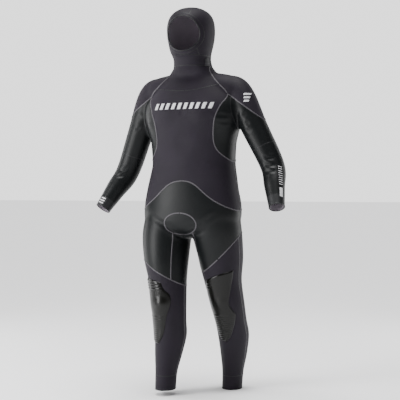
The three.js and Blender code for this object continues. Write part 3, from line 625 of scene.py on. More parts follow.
def cut_panels(skin):
    """Cuts the skin into the panels the suit is sewn from."""
    x, y, z = (lambda p: p[:, 0]), (lambda p: p[:, 1]), (lambda p: p[:, 2])

    def face(p, grow=0):
        oval = np.hypot(x(p) / (FACE_HALF[0] + grow), (z(p) - FACE_Z) / (FACE_HALF[1] + grow)) - 1
        return -np.maximum(oval * FACE_HALF[0], y(p) - FACE_BACK)

    def past_cuff(p):
        reach = p - CUFF_END[s]
        return np.where(np.linalg.norm(reach, axis=1) < 130, reach @ LOWER[s], -1)

    # Openings
    skin.cut(lambda p: np.where(x(p) < 0, HEM["right"], HEM["left"]) - z(p), ["suit"], "past_hem")
    for s in SIGN:
        skin.cut(past_cuff, ["suit"], "past_cuff")
    skin.cut(lambda p: z(p) - HOOD_FROM, ["suit"], "hood")
    skin.cut(face, ["hood"], "face_hole")
    skin.drop("past_hem", "past_cuff", "face_hole")
    # Hood
    skin.cut(lambda p: NECK_TOP - z(p), ["hood"], "neck_panel")
    skin.cut(lambda p: face(p, SEAL_WIDTH), ["hood"], "face_seal")
    skin.cut(lambda p: np.minimum.reduce([CHIN_HALF - np.abs(x(p)), FACE_Z - 20 - z(p), -30 - y(p)]), ["hood"],
             "chin_panel")
    skin.cut(lambda p: CROWN_HALF - np.abs(x(p)), ["hood"], "hood_centre")
    skin.cut(x, ["hood"], "hood_side_left")
    skin.cut(lambda p: -x(p), ["hood"], "hood_side_right")
    # Trunk, shoulders and sleeves
    skin.cut(lambda p: np.abs(x(p)) - seam_line(z(p), RAGLAN), ["suit"], "outer")
    skin.cut(lambda p: z(p) - seam_line(np.abs(x(p)), SLEEVE_TOP), ["outer"], "cap")
    for s, sign in SIGN.items():
        skin.cut(lambda p: sign * x(p), ["cap"], "shoulder_cap_" + s)
        skin.cut(lambda p: np.where(sign * x(p) > 40, sign * x(p) - seam_line(z(p), ARMHOLE[s]), -9), ["outer"],
                 "upper_sleeve_" + s)
    for s, sign in SIGN.items():
        skin.cut(lambda p: sign * x(p), ["outer"], "side_panel_" + s)
        skin.cut(lambda p: (p - ELBOW[s]) @ UPPER[s] + ELBOW_SEAM[s], ["upper_sleeve_" + s, "shoulder_cap_" + s],
                 "forearm_sleeve_" + s)
        skin.cut(lambda p: (p - CUFF_END[s]) @ LOWER[s] + CUFF, ["forearm_sleeve_" + s], "wrist_seal_" + s)
    skin.cut(lambda p: seam_line(np.abs(x(p)), WAIST) - z(p), ["suit"], "lower")
    skin.cut(lambda p: SIDE_Y - y(p), ["suit"], "chest_panel")
    skin.cut(lambda p: z(p) - seam_line(x(p), YOKE), ["chest_panel"], "yoke_panel")
    skin.cut(x, ["suit"], "back_panel_left")
    skin.cut(lambda p: -x(p), ["suit"], "back_panel_right")
    # Hips and legs

    def gusset(p):
        (x0, z0), (half_x, half_z) = GUSSET_MIDDLE, GUSSET_HALF
        return np.minimum(1 - np.hypot((x(p) - x0) / half_x, (z(p) - z0) / half_z), (GUSSET_BACK - y(p)) / 40) * 50

    def everywhere(p):
        return np.ones(len(p))

    skin.cut(gusset, ["lower"], "crotch_gusset")
    for s, sign in SIGN.items():
        skin.cut(lambda p: np.where(sign * x(p) > 0, seam_line(across_view(p), THIGH[s]) - z(p), -9), ["lower"],
                 "leg_" + s)
    # Below the crotch the side seam follows each thigh, which stands forward or back of the trunk.
    skin.cut(lambda p: SIDE_Y - y(p) + (690 - np.minimum(z(p), 690)) * np.where(x(p) > 0, 0.27, -0.5), ["lower"],
             "hip_panel")
    skin.cut(everywhere, ["lower"], "seat_panel")
    skin.cut(lambda p: np.minimum(INNER_THIGH_HALF - np.abs(x(p) + 2), INNER_THIGH_TOP - z(p)), ["hip_panel"],
             "inner_thigh")
    for s, sign in SIGN.items():
        skin.cut(lambda p: sign * x(p), ["inner_thigh"], "inner_thigh_" + s)
        skin.cut(lambda p: HEM[s] + ANKLE_SEAL - z(p), ["leg_" + s], "ankle_seal_" + s)
        turn = math.radians(LEG_FACES[s])

        def front(p):
            mx, my = leg_middle(s, z(p))
            return -((x(p) - mx) * -math.sin(turn) + (y(p) - my) * math.cos(turn))

        skin.cut(front, ["leg_" + s], "leg_front_" + s)
        skin.cut(everywhere, ["leg_" + s], "leg_back_" + s)
    # Every panel that crosses the middle, or runs from one joint to the next, is cut on a plane there.
    for s, sign in SIGN.items():
        for n in ("chest_panel", "yoke_panel", "hip_panel", "seat_panel", "crotch_gusset"):
            skin.cut(lambda p: sign * x(p), [n], "*." + s)
        both = [n + s for n in ("leg_front_", "leg_back_", "inner_thigh_")]
        skin.cut(lambda p: z(p) - SPLIT_Z, both[:2], "*.high")
        skin.cut(lambda p: SPLIT_Z - z(p), ["hip_panel." + s, "seat_panel." + s, both[2]], "*.low")


# ---------------------------------------------------------------- how pieces follow the bodies


def zone_of(name):
    """The part of the body a panel moves with."""
    base, *tail = name.split(".")
    side = next((s for s in SIGN if base.endswith(s) or s in tail), "")
    if base.startswith(("hood", "neck", "chin", "face")):
        return "core"
    if base.startswith(("wrist", "ankle")):
        return base.split("_")[0] + "_" + side
    if base.startswith("forearm"):
        return "elbow_" + side
    if "low" in tail or (base.startswith("leg") and "high" not in tail):
        return "knee_" + side
    if base.startswith(("hip", "seat", "crotch", "leg", "inner")):
        return "hip_" + side
    return "shoulder_" + side


def follow(obj, zone):
    """The object rides on its body where it has one; a piece at a joint stays where it is, its place baked into its
    mesh.
    """
    place, _, side = zone.partition("_")
    if place in ("core", "wrist", "ankle"):
        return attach(obj, {"core": "torso", "wrist": "forearm_" + side, "ankle": "shin_" + side}[place])
    if place == "shoulder":
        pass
    elif place == "elbow":
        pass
    elif place == "hip":
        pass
    else:
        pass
    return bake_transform(obj)


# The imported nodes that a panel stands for, where its name isn't theirs
STANDS_FOR = {
    "upper_sleeve": ["upper_sleeve_", "shoulder_flex_"],
    "forearm_sleeve": ["forearm_sleeve_", "elbow_flex_"],
    "leg_front": ["thigh_front_", "knee_flex_", "shin_panel_"],
    "leg_back": ["thigh_back_", "calf_panel_"],
    "inner_thigh": ["hip_flex_"],
}
SMOOTH_PANELS = (
    "side_panel", "upper_sleeve", "forearm_sleeve", "hip_panel", "seat_panel", "inner_thigh", "crotch_gusset",
)
SEALS = ("face_seal", "wrist_seal", "ankle_seal")
# Panels joined by a glued and blind-stitched seam, where the others are taped
BLIND = [
    {"hood_centre", "hood_side"}, {"hood_centre", "chin_panel"}, {"hood_side", "chin_panel"},
    {"hood_side", "face_seal"}, {"hood_centre", "face_seal"}, {"chin_panel", "face_seal"},
    {"hood_side", "neck_panel"}, {"hood_centre", "neck_panel"}, {"chin_panel", "neck_panel"},
    {"yoke_panel", "chest_panel"}, {"neck_panel", "yoke_panel"}, {"neck_panel", "shoulder_cap"},
    {"neck_panel", "back_panel"}, {"side_panel", "upper_sleeve"}, {"upper_sleeve", "forearm_sleeve"},
    {"back_panel", "yoke_panel"}, {"shoulder_cap", "forearm_sleeve"}, {"forearm_sleeve", "wrist_seal"},
    {"leg_front", "ankle_seal"}, {"leg_back", "ankle_seal"}, {"inner_thigh", "seat_panel"},
    {"hip_panel", "seat_panel"}, {"back_panel", "back_panel"},
]


WORN_STRETCH, FLAT_FILL = 1.05, 0.85
PINCH = 0.7  # how far the foam is drawn in along a seam
ZONES = ("wrist", "ankle", "core", "shoulder", "elbow", "hip", "knee")
SUIT = {}  # what the first step leaves for the others: the skin, and a tree that finds its surface


def family(name):
    """A panel's kind, without its side or half."""
    base = name.split(".")[0]
    for s in SIGN:
        base = base.removesuffix("_" + s)
    return base


def give_normals(mesh, normals):
    """Keeps the uncut skin's normals on a cut panel, so that its halves shade as one."""
    for poly in mesh.polygons:
        poly.use_smooth = True
    mesh.normals_split_custom_set_from_vertices([tuple(n) for n in normals])


def boundary(faces):
    """The directed edges that only one triangle has."""
    edges = np.vstack([faces[:, [0, 1]], faces[:, [1, 2]], faces[:, [2, 0]]])
    key = np.sort(edges, 1)
    _, where, count = np.unique(key, axis=0, return_inverse=True, return_counts=True)
    return edges[count[where.reshape(-1)] == 1]


def build_panel(skin, name, wall, dip):
    """One panel: its outer face from the skin, its inner face a wall's thickness in, and a rim."""
    faces = skin.faces_of(name)
    used, local = np.unique(faces, return_inverse=True)
    local = local.reshape(-1, 3)
    p, n = skin.points[used] - skin.normals[used] * dip[used, None], skin.normals[used]
    count = len(used)
    rim = boundary(local)
    quads = [(b, a, a + count, b + count) for a, b in rim]
    inner = local[:, ::-1] + count
    mesh = new_mesh(name, np.vstack([p, p - n * wall]), [*local, *inner, *quads])
    # Only the outside and the inside keep the skin's normals; the rim's faces stand across them.
    made = new_object(name.replace(".", "_"), mesh)
    kind = family(name)
    looks = materials()
    outside = "seal" if kind == "wrist_seal" else "smooth" if kind in SMOOTH_PANELS else "jersey"
    for key in (outside, "lining"):
        mesh.materials.append(looks[key])
    index = np.zeros(len(mesh.polygons), int)
    index[len(local) : 2 * len(local)] = 1
    mesh.polygons.foreach_set("material_index", index)
    give_normals(mesh, np.vstack([n, -n]))
    follow(made, zone_of(name))
    side = next((s for s in SIGN if s in name.replace(".", "_").split("_")), "left")
    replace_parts(made, *([stem + side for stem in STANDS_FOR.get(kind, [])] or [name.split(".")[0]]))
    # Cut flat a twentieth smaller each way than it is worn, and filling 85% of its rectangle
    a, b, c = (p[local[:, k]] for k in range(3))
    area = np.linalg.norm(np.cross(b - a, c - a), axis=1).sum() / 2e6 / WORN_STRETCH**2
    reach = p.max(0) - p.min(0)
    length = max(reach[2], reach[0]) / 1000 / WORN_STRETCH
    length = max(length, area / length / FLAT_FILL, 0.02)
    return made


class WETSUIT_OT_panels(bpy.types.Operator):
    """Shapes the worn suit, and cuts it into its panels"""

    bl_idname = "wetsuit.panels"
    bl_label = "Panels"

    def execute(self, context):
        sizes = context.scene.suit_sizes
        skin = worn_shape(sizes.grid)
        cut_panels(skin)
        SUIT["skin"] = skin
        dip = np.zeros(len(skin.points))
        for edge_list in seam_edges(skin).values():
            dip[np.array(edge_list).reshape(-1)] = PINCH
        SUIT["tree"] = BVHTree.FromPolygons([Vector(p) for p in skin.points], skin.triangles.tolist())
        for name in [skin.names[k] for k in np.unique(skin.panel)]:
            build_panel(skin, name, sizes.wall, dip)
        return {"FINISHED"}


def seam_edges(skin):
    """The edges between two panels, by zone and by the kind of seam, and those of the open hems."""
    f = skin.triangles
    edges = np.sort(np.vstack([f[:, [0, 1]], f[:, [1, 2]], f[:, [2, 0]]]), 1)
    owner = np.tile(np.arange(len(f)), 3)
    order = np.lexsort((edges[:, 1], edges[:, 0]))
    edges, owner = edges[order], owner[order]
    same = np.all(edges[1:] == edges[:-1], axis=1)
    found = {}
    pair = np.nonzero(same)[0]
    a, b = skin.panel[owner[pair]], skin.panel[owner[pair + 1]]
    for i in pair[a != b]:
        one, two = (skin.names[skin.panel[owner[k]]] for k in (i, i + 1))
        if one.split(".")[0] == two.split(".")[0]:
            continue
        kinds = {family(one), family(two)}
        if kinds == {"back_panel"}:
            continue
        zone = min(zone_of(one), zone_of(two), key=lambda z: ZONES.index(z.split("_")[0]))
        found.setdefault((zone, "blind" if kinds in BLIND else "tape"), []).append(tuple(edges[i]))
    lonely = np.ones(len(edges), bool)
    lonely[pair] = lonely[pair + 1] = False
    for i in np.nonzero(lonely)[0]:
        name = skin.names[skin.panel[owner[i]]]
        if family(name) in SEALS:
            found.setdefault((zone_of(name), "hem"), []).append(tuple(edges[i]))
    return found


def chains(edges):
    """Edges joined end to end into lines; a closed line repeats its first point."""
    near = {}
    for a, b in edges:
        near.setdefault(a, []).append(b)
        near.setdefault(b, []).append(a)
    left = {tuple(sorted(e)) for e in edges}
    lines = []
    starts = [p for p, n in near.items() if len(n) != 2] + list(near)
    for start in starts:
        for step in near[start]:
            if tuple(sorted((start, step))) not in left:
                continue
            line, here = [start], step
            left.discard(tuple(sorted((start, step))))
            while True:
                line.append(here)
                if len(near[here]) != 2 or here == start:
                    break
                onward = [q for q in near[here] if tuple(sorted((here, q))) in left]
                if not onward:
                    break
                left.discard(tuple(sorted((here, onward[0]))))
                here = onward[0]
            lines.append(line)
    return lines


def new_tree(name, numbers, looks):
    """A Geometry Nodes tree that is given a mesh, numbers and materials, and the sockets they come from."""
    tree = bpy.data.node_groups.new(name, "GeometryNodeTree")
    sockets = [("Geometry", "Geometry"), *((n, "Float") for n in numbers), *((n, "Material") for n in looks)]
    for label, kind in sockets:
        tree.interface.new_socket(label, in_out="INPUT", socket_type="NodeSocket" + kind)
    tree.interface.new_socket("Geometry", in_out="OUTPUT", socket_type="NodeSocketGeometry")
    return tree, add(tree, "NodeGroupInput").outputs


def lift_of(tree):
    """The way the suit faces at each point of a line."""
    kept = {"data_type": "FLOAT_VECTOR"}
    return add(tree, "GeometryNodeInputNamedAttribute", None, {"Name": "lift"}, **kept).outputs["Attribute"]


def copies(tree, spots, piece):
    """The piece at each spot along a line, turned with it."""
    at_each = {"Points": spots["Points"], "Instance": piece, "Rotation": spots["Rotation"]}
    return add(tree, "GeometryNodeInstanceOnPoints", at_each).outputs[0]


def seam_tree():
    """Geometry Nodes: a low domed tape lying along each line, with a slanted stitch at every step."""
    name = "Seam tape and stitches"
    if name in bpy.data.node_groups:
        return bpy.data.node_groups[name]
    tree, given = new_tree(name, ("Width", "Rise", "Step", "Stitch length", "Stitch thickness"), ("Tape", "Thread"))
    line = add(tree, "GeometryNodeMeshToCurve", {"Mesh": given["Geometry"]}).outputs[0]
    even = add(tree, "GeometryNodeResampleCurve", {"Curve": line}, {"Length": 0.006}, mode="LENGTH").outputs[0]
    laid = add(tree, "GeometryNodeSetCurveNormal", {"Curve": even, "Normal": lift_of(tree)}, mode="FREE").outputs[0]
    round_off = {"Resolution": 10, "Radius": 0.5}
    dome = add(tree, "GeometryNodeCurvePrimitiveCircle", None, round_off, mode="RADIUS").outputs[0]
    across = add(tree, "ShaderNodeMath", {0: given["Rise"]}, {1: 2.0}, operation="MULTIPLY").outputs[0]
    spread = add(tree, "ShaderNodeCombineXYZ", {"X": across, "Y": given["Width"]}, {"Z": 1.0}).outputs[0]
    profile = add(tree, "GeometryNodeTransform", {"Geometry": dome, "Scale": spread}).outputs[0]
    swept = {"Curve": laid, "Profile Curve": profile}
    tape = add(tree, "GeometryNodeCurveToMesh", swept, {"Fill Caps": True}).outputs[0]
    tape = add(tree, "GeometryNodeSetMaterial", {"Geometry": tape, "Material": given["Tape"]}).outputs[0]
    beads = add(tree, "GeometryNodeCurveToPoints", {"Curve": laid, "Length": given["Step"]}, mode="LENGTH").outputs
    thread = {"X": given["Stitch thickness"], "Y": given["Stitch length"], "Z": given["Stitch thickness"]}
    body = add(tree, "ShaderNodeCombineXYZ", thread).outputs[0]
    bar = add(tree, "GeometryNodeMeshCube", {"Size": body}).outputs[0]
    top = add(tree, "ShaderNodeCombineXYZ", {"X": given["Rise"]}).outputs[0]
    raised = {"Geometry": bar, "Translation": top}
    slant = add(tree, "GeometryNodeTransform", raised, {"Rotation": (0.5, 0, 0)}).outputs[0]
    real = add(tree, "GeometryNodeRealizeInstances", {"Geometry": copies(tree, beads, slant)}).outputs[0]
    sewn = add(tree, "GeometryNodeSetMaterial", {"Geometry": real, "Material": given["Thread"]}).outputs[0]
    joined = add(tree, "GeometryNodeJoinGeometry")
    for part in (sewn, tape):
        tree.links.new(part, joined.inputs[0])
    add(tree, "NodeGroupOutput", {"Geometry": joined.outputs[0]})
    return tree


def with_tree(obj, tree, values, name):
    """Runs a node tree on an object with the named inputs set, and keeps its result as a plain mesh."""
    modifier = obj.modifiers.new("nodes", "NODES")
    modifier.node_group = tree
    for item in tree.interface.items_tree:
        if item.in_out == "INPUT" and item.name in values:
            modifier[item.identifier] = values[item.name]
    return applied(obj, name)


def laid_lines(skin, lines, sink):
    """The lines as a mesh of edges that lies on the skin, each point with its lift away from the body."""
    points, lifts, edges = [], [], []
    for line in lines:
        p, n = skin.points[line].copy(), skin.normals[line]
        closed = line[0] == line[-1]
        for _ in range(4):
            if closed:
                p[:-1] = (np.roll(p[:-1], 1, 0) + p[:-1] * 2 + np.roll(p[:-1], -1, 0)) / 4
                p[-1] = p[0]
            elif len(p) > 2:
                p[1:-1] = (p[:-2] + p[1:-1] * 2 + p[2:]) / 4
        start = len(points)
        last = len(line) - 1 if closed else len(line)
        points += list(p[:last] - n[:last] * sink)
        lifts += list(n[:last])
        edges += [(start + i, start + i + 1) for i in range(last - 1)]
        if closed:
            edges.append((start + last - 1, start))
    mesh = new_mesh("lines", points, [], edges)
    lift = mesh.attributes.new("lift", "FLOAT_VECTOR", "POINT")
    lift.data.foreach_set("vector", np.array(lifts, np.float32).reshape(-1))
    return new_object("lines", mesh)


class WETSUIT_OT_seams(bpy.types.Operator):
    """Lays the tapes, the blind seams and the rolled hems over the joins between panels"""

    bl_idname = "wetsuit.seams"
    bl_label = "Seams and hems"

    def execute(self, context):
        skin, sizes, looks = SUIT["skin"], context.scene.suit_sizes, materials()
        mm = 0.001
        kinds = {
            "tape": (sizes.tape_width, sizes.tape_rise, sizes.stitch, 0.72, "tape", "thread", 0.35),
            "blind": (sizes.blind_width, 0.45, sizes.stitch * 1.3, 0.6, "seal", "jersey", 0.15),
            "hem": (sizes.roll * 2, sizes.roll, sizes.stitch * 2, 0.1, "seal", "seal", 1.6),
        }
        for (zone, kind), edges in sorted(seam_edges(skin).items()):
            width, rise, step, reach, cover, thread, sink = kinds[kind]
            lines = [line for line in chains(edges) if len(line) > 3]
            if not lines:
                continue
            made = with_tree(laid_lines(skin, lines, sink), seam_tree(), {
                "Width": width * mm, "Rise": rise * mm, "Step": step * mm, "Stitch length": width * reach * mm,
                "Stitch thickness": (0.9 if kind == "tape" else 0.5) * mm,
                "Tape": looks[cover], "Thread": looks[thread],
            }, f"{kind}_{zone}")
            follow(made, zone)
        return {"FINISHED"}


# ---------------------------------------------------------------- pieces that lie on the suit


def way(turn):
    """The level direction that faces this many degrees round from the front."""
    a = math.radians(turn)
    return np.array([math.sin(a), -math.cos(a), 0.0])


def on_skin(points, turns, from_out=300):
    """Where lines from outside meet the suit, and the suit's lift there. Each line ends at a point inside."""
    hits, lifts = [], []
    for p, turn in zip(points, turns):
        out = way(turn) if np.isscalar(turn) else turn
        place, normal, _, _ = SUIT["tree"].ray_cast(Vector(p + out * from_out), Vector(-out), from_out + 120)
        if place is None:
            raise RuntimeError(f"nothing to lie on at {np.round(p)}")
        hits.append(place)
        lifts.append(normal)
    return np.array(hits), np.array(lifts)


def lying(name, points, turns, shape, rise, sink=0.6, from_out=300):
    """A closed piece that lies on the suit: a grid of points, each raised by its own rise."""
    rows, columns = shape
    p, n = on_skin(points, turns, from_out)
    # The lift is evened over the grid, so that a piece stays smooth over the triangles under it.
    grid = n.reshape(rows, columns, 3)
    place = p.reshape(rows, columns, 3)
    for _ in range(3):
        for values in (grid, place):
            values[1:-1] = (values[:-2] + 2 * values[1:-1] + values[2:]) / 4
            values[:, 1:-1] = (values[:, :-2] + 2 * values[:, 1:-1] + values[:, 2:]) / 4
    n = grid.reshape(-1, 3)
    n /= np.linalg.norm(n, axis=1, keepdims=True)
    p = place.reshape(-1, 3)
    top, under = p + n * np.asarray(rise).reshape(-1, 1), p - n * sink
    index = np.arange(rows * columns).reshape(rows, columns)
    a, b, c, d = index[:-1, :-1].ravel(), index[:-1, 1:].ravel(), index[1:, 1:].ravel(), index[1:, :-1].ravel()
    faces = np.stack([a, b, c, d], 1)
    low = faces[:, ::-1] + rows * columns
    edge = np.concatenate([index[0, :], index[1:, -1], index[-1, -2::-1], index[-2:0:-1, 0]])
    after = np.roll(edge, -1)
    rim = np.stack([after, edge, edge + rows * columns, after + rows * columns], 1)
    mesh = new_mesh(name, np.vstack([top, under]), np.vstack([faces, low, rim]))
    tidy = new_object(name, mesh)
    make_outward(tidy)
    for poly in mesh.polygons:
        poly.use_smooth = True
    return tidy


def make_outward(obj):
    """Turns every face of a closed piece outwards."""
    bm = bmesh.new()
    bm.from_mesh(obj.data)
    bmesh.ops.recalc_face_normals(bm, faces=bm.faces)
    bm.to_mesh(obj.data)
    bm.free()
    obj.data.update()


# Knee pads: height over the knee, then the degrees round from the front where the row starts and ends
PADS = {
    "left": [
        (132, -38, 53), (96, -46, 50), (56, -52, 38), (10, -54, 25), (-22, -54, 32), (-44, -50, 40), (-78, -46, 34),
        (-108, -40, 25), (-140, -32, 14), (-162, -22, 4), (-172, -12, -4),
    ],
    "right": [
        (113, -62, 4), (80, -70, 12), (58, -72, 24), (36, -73, 29), (12, -73, 29), (-14, -72, 22), (-52, -70, 13),
        (-106, -66, 5), (-144, -56, -6), (-168, -40, -18),
    ],
}


def ramp(v, low, high):
    """From 0 to 1 between low and high, starting and ending gently."""
    t = np.clip((v - low) / (high - low), 0, 1)
    return t * t * (3 - 2 * t)


class WETSUIT_OT_pads(bpy.types.Operator):
    """Moulds a ribbed pad over each knee"""

    bl_idname = "wetsuit.knee_pads"
    bl_label = "Knee pads"

    def execute(self, context):
        rise = context.scene.suit_sizes.pad_rise
        for side, outline in PADS.items():
            rows, columns = 150, 44
            table = flowing(np.array(outline, float), rows)
            t = np.linspace(-1, 1, columns)
            height = np.repeat(table[:, 0], columns).reshape(rows, columns)
            across = np.tile(t, (rows, 1))
            turn = (table[:, 1:2] + table[:, 2:3]) / 2 + t * (table[:, 2:3] - table[:, 1:2]) / 2
            highest, lowest = outline[0][0], outline[-1][0]
            ends = ramp(height, lowest, lowest + 9) * (1 - ramp(height, highest - 8, highest))
            # The top edge climbs towards the outside of the left leg, and the shin of the right.
            height = height + ramp(height, 20, 110) * (across * (26 if side == "left" else -8) - 5 * across**2)
            middle = np.stack([*leg_middle(side, KNEE_Z + height.ravel()), KNEE_Z + height.ravel()], 1)
            edge = 1 - np.abs(across) ** 7
            body = rise * np.sqrt(np.clip(edge * ends, 0, 1))
            inset = (1 - ramp(np.abs(across), 0.72, 0.90))
            ridges = ramp(height, 60, 70) * (0.5 + 0.5 * np.sin(height * 2 * np.pi / 11.5)) ** 1.5 * 2.0
            if side == "left":  # only its inner corner is ridged
                ridges = ridges * (1 - ramp(across, -0.6, -0.1)) * (1 - ramp(height, 96, 106))
            ribs = (1 - ramp(height, -60, -52)) * (0.5 + 0.5 * np.sin(height * 2 * np.pi / 9.2)) * 2.0
            cup = 2.6 * np.exp(-((height - 2) / 34) ** 2) * (1 - across**2)
            lip = 1.5 * np.exp(-((height + 50) / 3.2) ** 2)
            raised = (body + inset * (ridges + ribs + lip) + cup).ravel()
            made = lying("knee_pad_" + side, middle, turn.ravel(), (rows, columns), raised, 1.0, 118)
            made.data.materials.append(materials()["pad"])
            follow(made, "knee_" + side)
            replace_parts(made, "knee_pad_" + side)
        return {"FINISHED"}


class WETSUIT_OT_tab(bpy.types.Operator):
    """Sews the small pull tab to the wearer's left of the neck"""

    bl_idname = "wetsuit.neck_tab"
    bl_label = "Neck tab"

    def execute(self, context):
        rows, columns = 22, 14
        heights = np.linspace(1474, 1438, rows)
        t = np.linspace(-1, 1, columns)
        width = 11 * np.sqrt(np.clip(1 - np.clip((heights - 1464) / 11, 0, 1) ** 2, 0.1, 1))
        points = np.array([[0, 4, h] for h in heights for _ in t])
        turns = np.array([74 + w * a for w in width for a in t])
        edge = np.clip(1 - np.abs(np.tile(t, rows)) ** 6, 0, 1)
        sewn = 0.5 * np.exp(-((np.repeat(heights, columns) - 1446) / 1.6) ** 2)
        made = lying("neck_tab", points, turns, (rows, columns), 3.2 * np.sqrt(edge) - sewn)
        made.data.materials.append(materials()["webbing"])
        follow(made, "core")
        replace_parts(made, "neck_tab")
        return {"FINISHED"}


def tooth_tree():
    """Geometry Nodes: two rows of teeth that mesh along a line."""
    name = "Zip teeth"
    if name in bpy.data.node_groups:
        return bpy.data.node_groups[name]
    tree, given = new_tree(name, ("Pitch", "Reach", "Height"), ("Teeth",))
    line = add(tree, "GeometryNodeMeshToCurve", {"Mesh": given["Geometry"]}).outputs[0]
    laid = add(tree, "GeometryNodeSetCurveNormal", {"Curve": line, "Normal": lift_of(tree)}, mode="FREE").outputs[0]
    spots = add(tree, "GeometryNodeCurveToPoints", {"Curve": laid, "Length": given["Pitch"]}, mode="LENGTH").outputs
    thick = add(tree, "ShaderNodeMath", {0: given["Pitch"]}, {1: 0.42}, operation="MULTIPLY").outputs[0]
    half = add(tree, "ShaderNodeMath", {0: given["Pitch"]}, {1: 0.5}, operation="MULTIPLY").outputs[0]
    joined = add(tree, "GeometryNodeJoinGeometry")
    body = add(tree, "ShaderNodeCombineXYZ", {"X": given["Height"], "Y": given["Reach"], "Z": thick}).outputs[0]
    tooth = add(tree, "GeometryNodeMeshCube", {"Size": body}).outputs[0]
    for sign in (-1, 1):
        aside = add(tree, "ShaderNodeMath", {0: given["Reach"]}, {1: 0.34 * sign}, operation="MULTIPLY").outputs[0]
        along = {"Z": half} if sign > 0 else {}
        shift = add(tree, "ShaderNodeCombineXYZ", {"X": given["Height"], "Y": aside, **along}).outputs[0]
        moved = add(tree, "GeometryNodeTransform", {"Geometry": tooth, "Translation": shift}).outputs[0]
        tree.links.new(copies(tree, spots, moved), joined.inputs[0])
    real = add(tree, "GeometryNodeRealizeInstances", {"Geometry": joined.outputs[0]}).outputs[0]
    done = add(tree, "GeometryNodeSetMaterial", {"Geometry": real, "Material": given["Teeth"]}).outputs[0]
    add(tree, "NodeGroupOutput", {"Geometry": done})
    return tree


def down_the_back(x, low, high, count, rise):
    """A line down the back, x to the side of the middle and raised from the foam."""
    heights = np.linspace(high, low, count)
    place, _ = on_skin(np.stack([np.full(count, float(x)), np.full(count, 60.0), heights], 1), [180] * count)
    for _ in range(12):
        place[1:-1] = (place[:-2] + 2 * place[1:-1] + place[2:]) / 4
    place[:, 1] += rise
    place[:, 0] = x
    mesh = new_mesh("back_line", place, [], [(i, i + 1) for i in range(count - 1)])
    lift = mesh.attributes.new("lift", "FLOAT_VECTOR", "POINT")
    lift.data.foreach_set("vector", np.tile(np.float32([0, 1, 0]), count))
    return new_object("back_line", mesh)


def cut_block(name, outline, near, far, bevel):
    """A block with a flat outline seen from behind, y from near to far, its edges rounded."""
    count = len(outline)
    points = [(x, near, z) for x, z in outline] + [(x, far, z) for x, z in outline]
    faces = [tuple(range(count)), tuple(range(2 * count - 1, count - 1, -1))]
    faces += [(i, (i + 1) % count, (i + 1) % count + count, i + count) for i in range(count)]
    made = new_object(name, new_mesh(name, points, faces))
    make_outward(made)
    round_off = made.modifiers.new("round", "BEVEL")
    round_off.width, round_off.segments = bevel / 1000, 3
    return applied(made, name)


def oval(x, z, half_x, half_z, count=20):
    """The outline of an oval, as points."""
    turns = [2 * math.pi * i / count for i in range(count)]
    return [(x + half_x * math.cos(t), z + half_z * math.sin(t)) for t in turns]


def joined(name, *objects):
    """Several meshes as one object."""
    bm = bmesh.new()
    for o in objects:
        bm.from_mesh(o.data)
    mesh = bpy.data.meshes.new(name)
    bm.to_mesh(mesh)
    bm.free()
    for o in objects:
        bpy.data.objects.remove(o)
    return new_object(name, mesh)


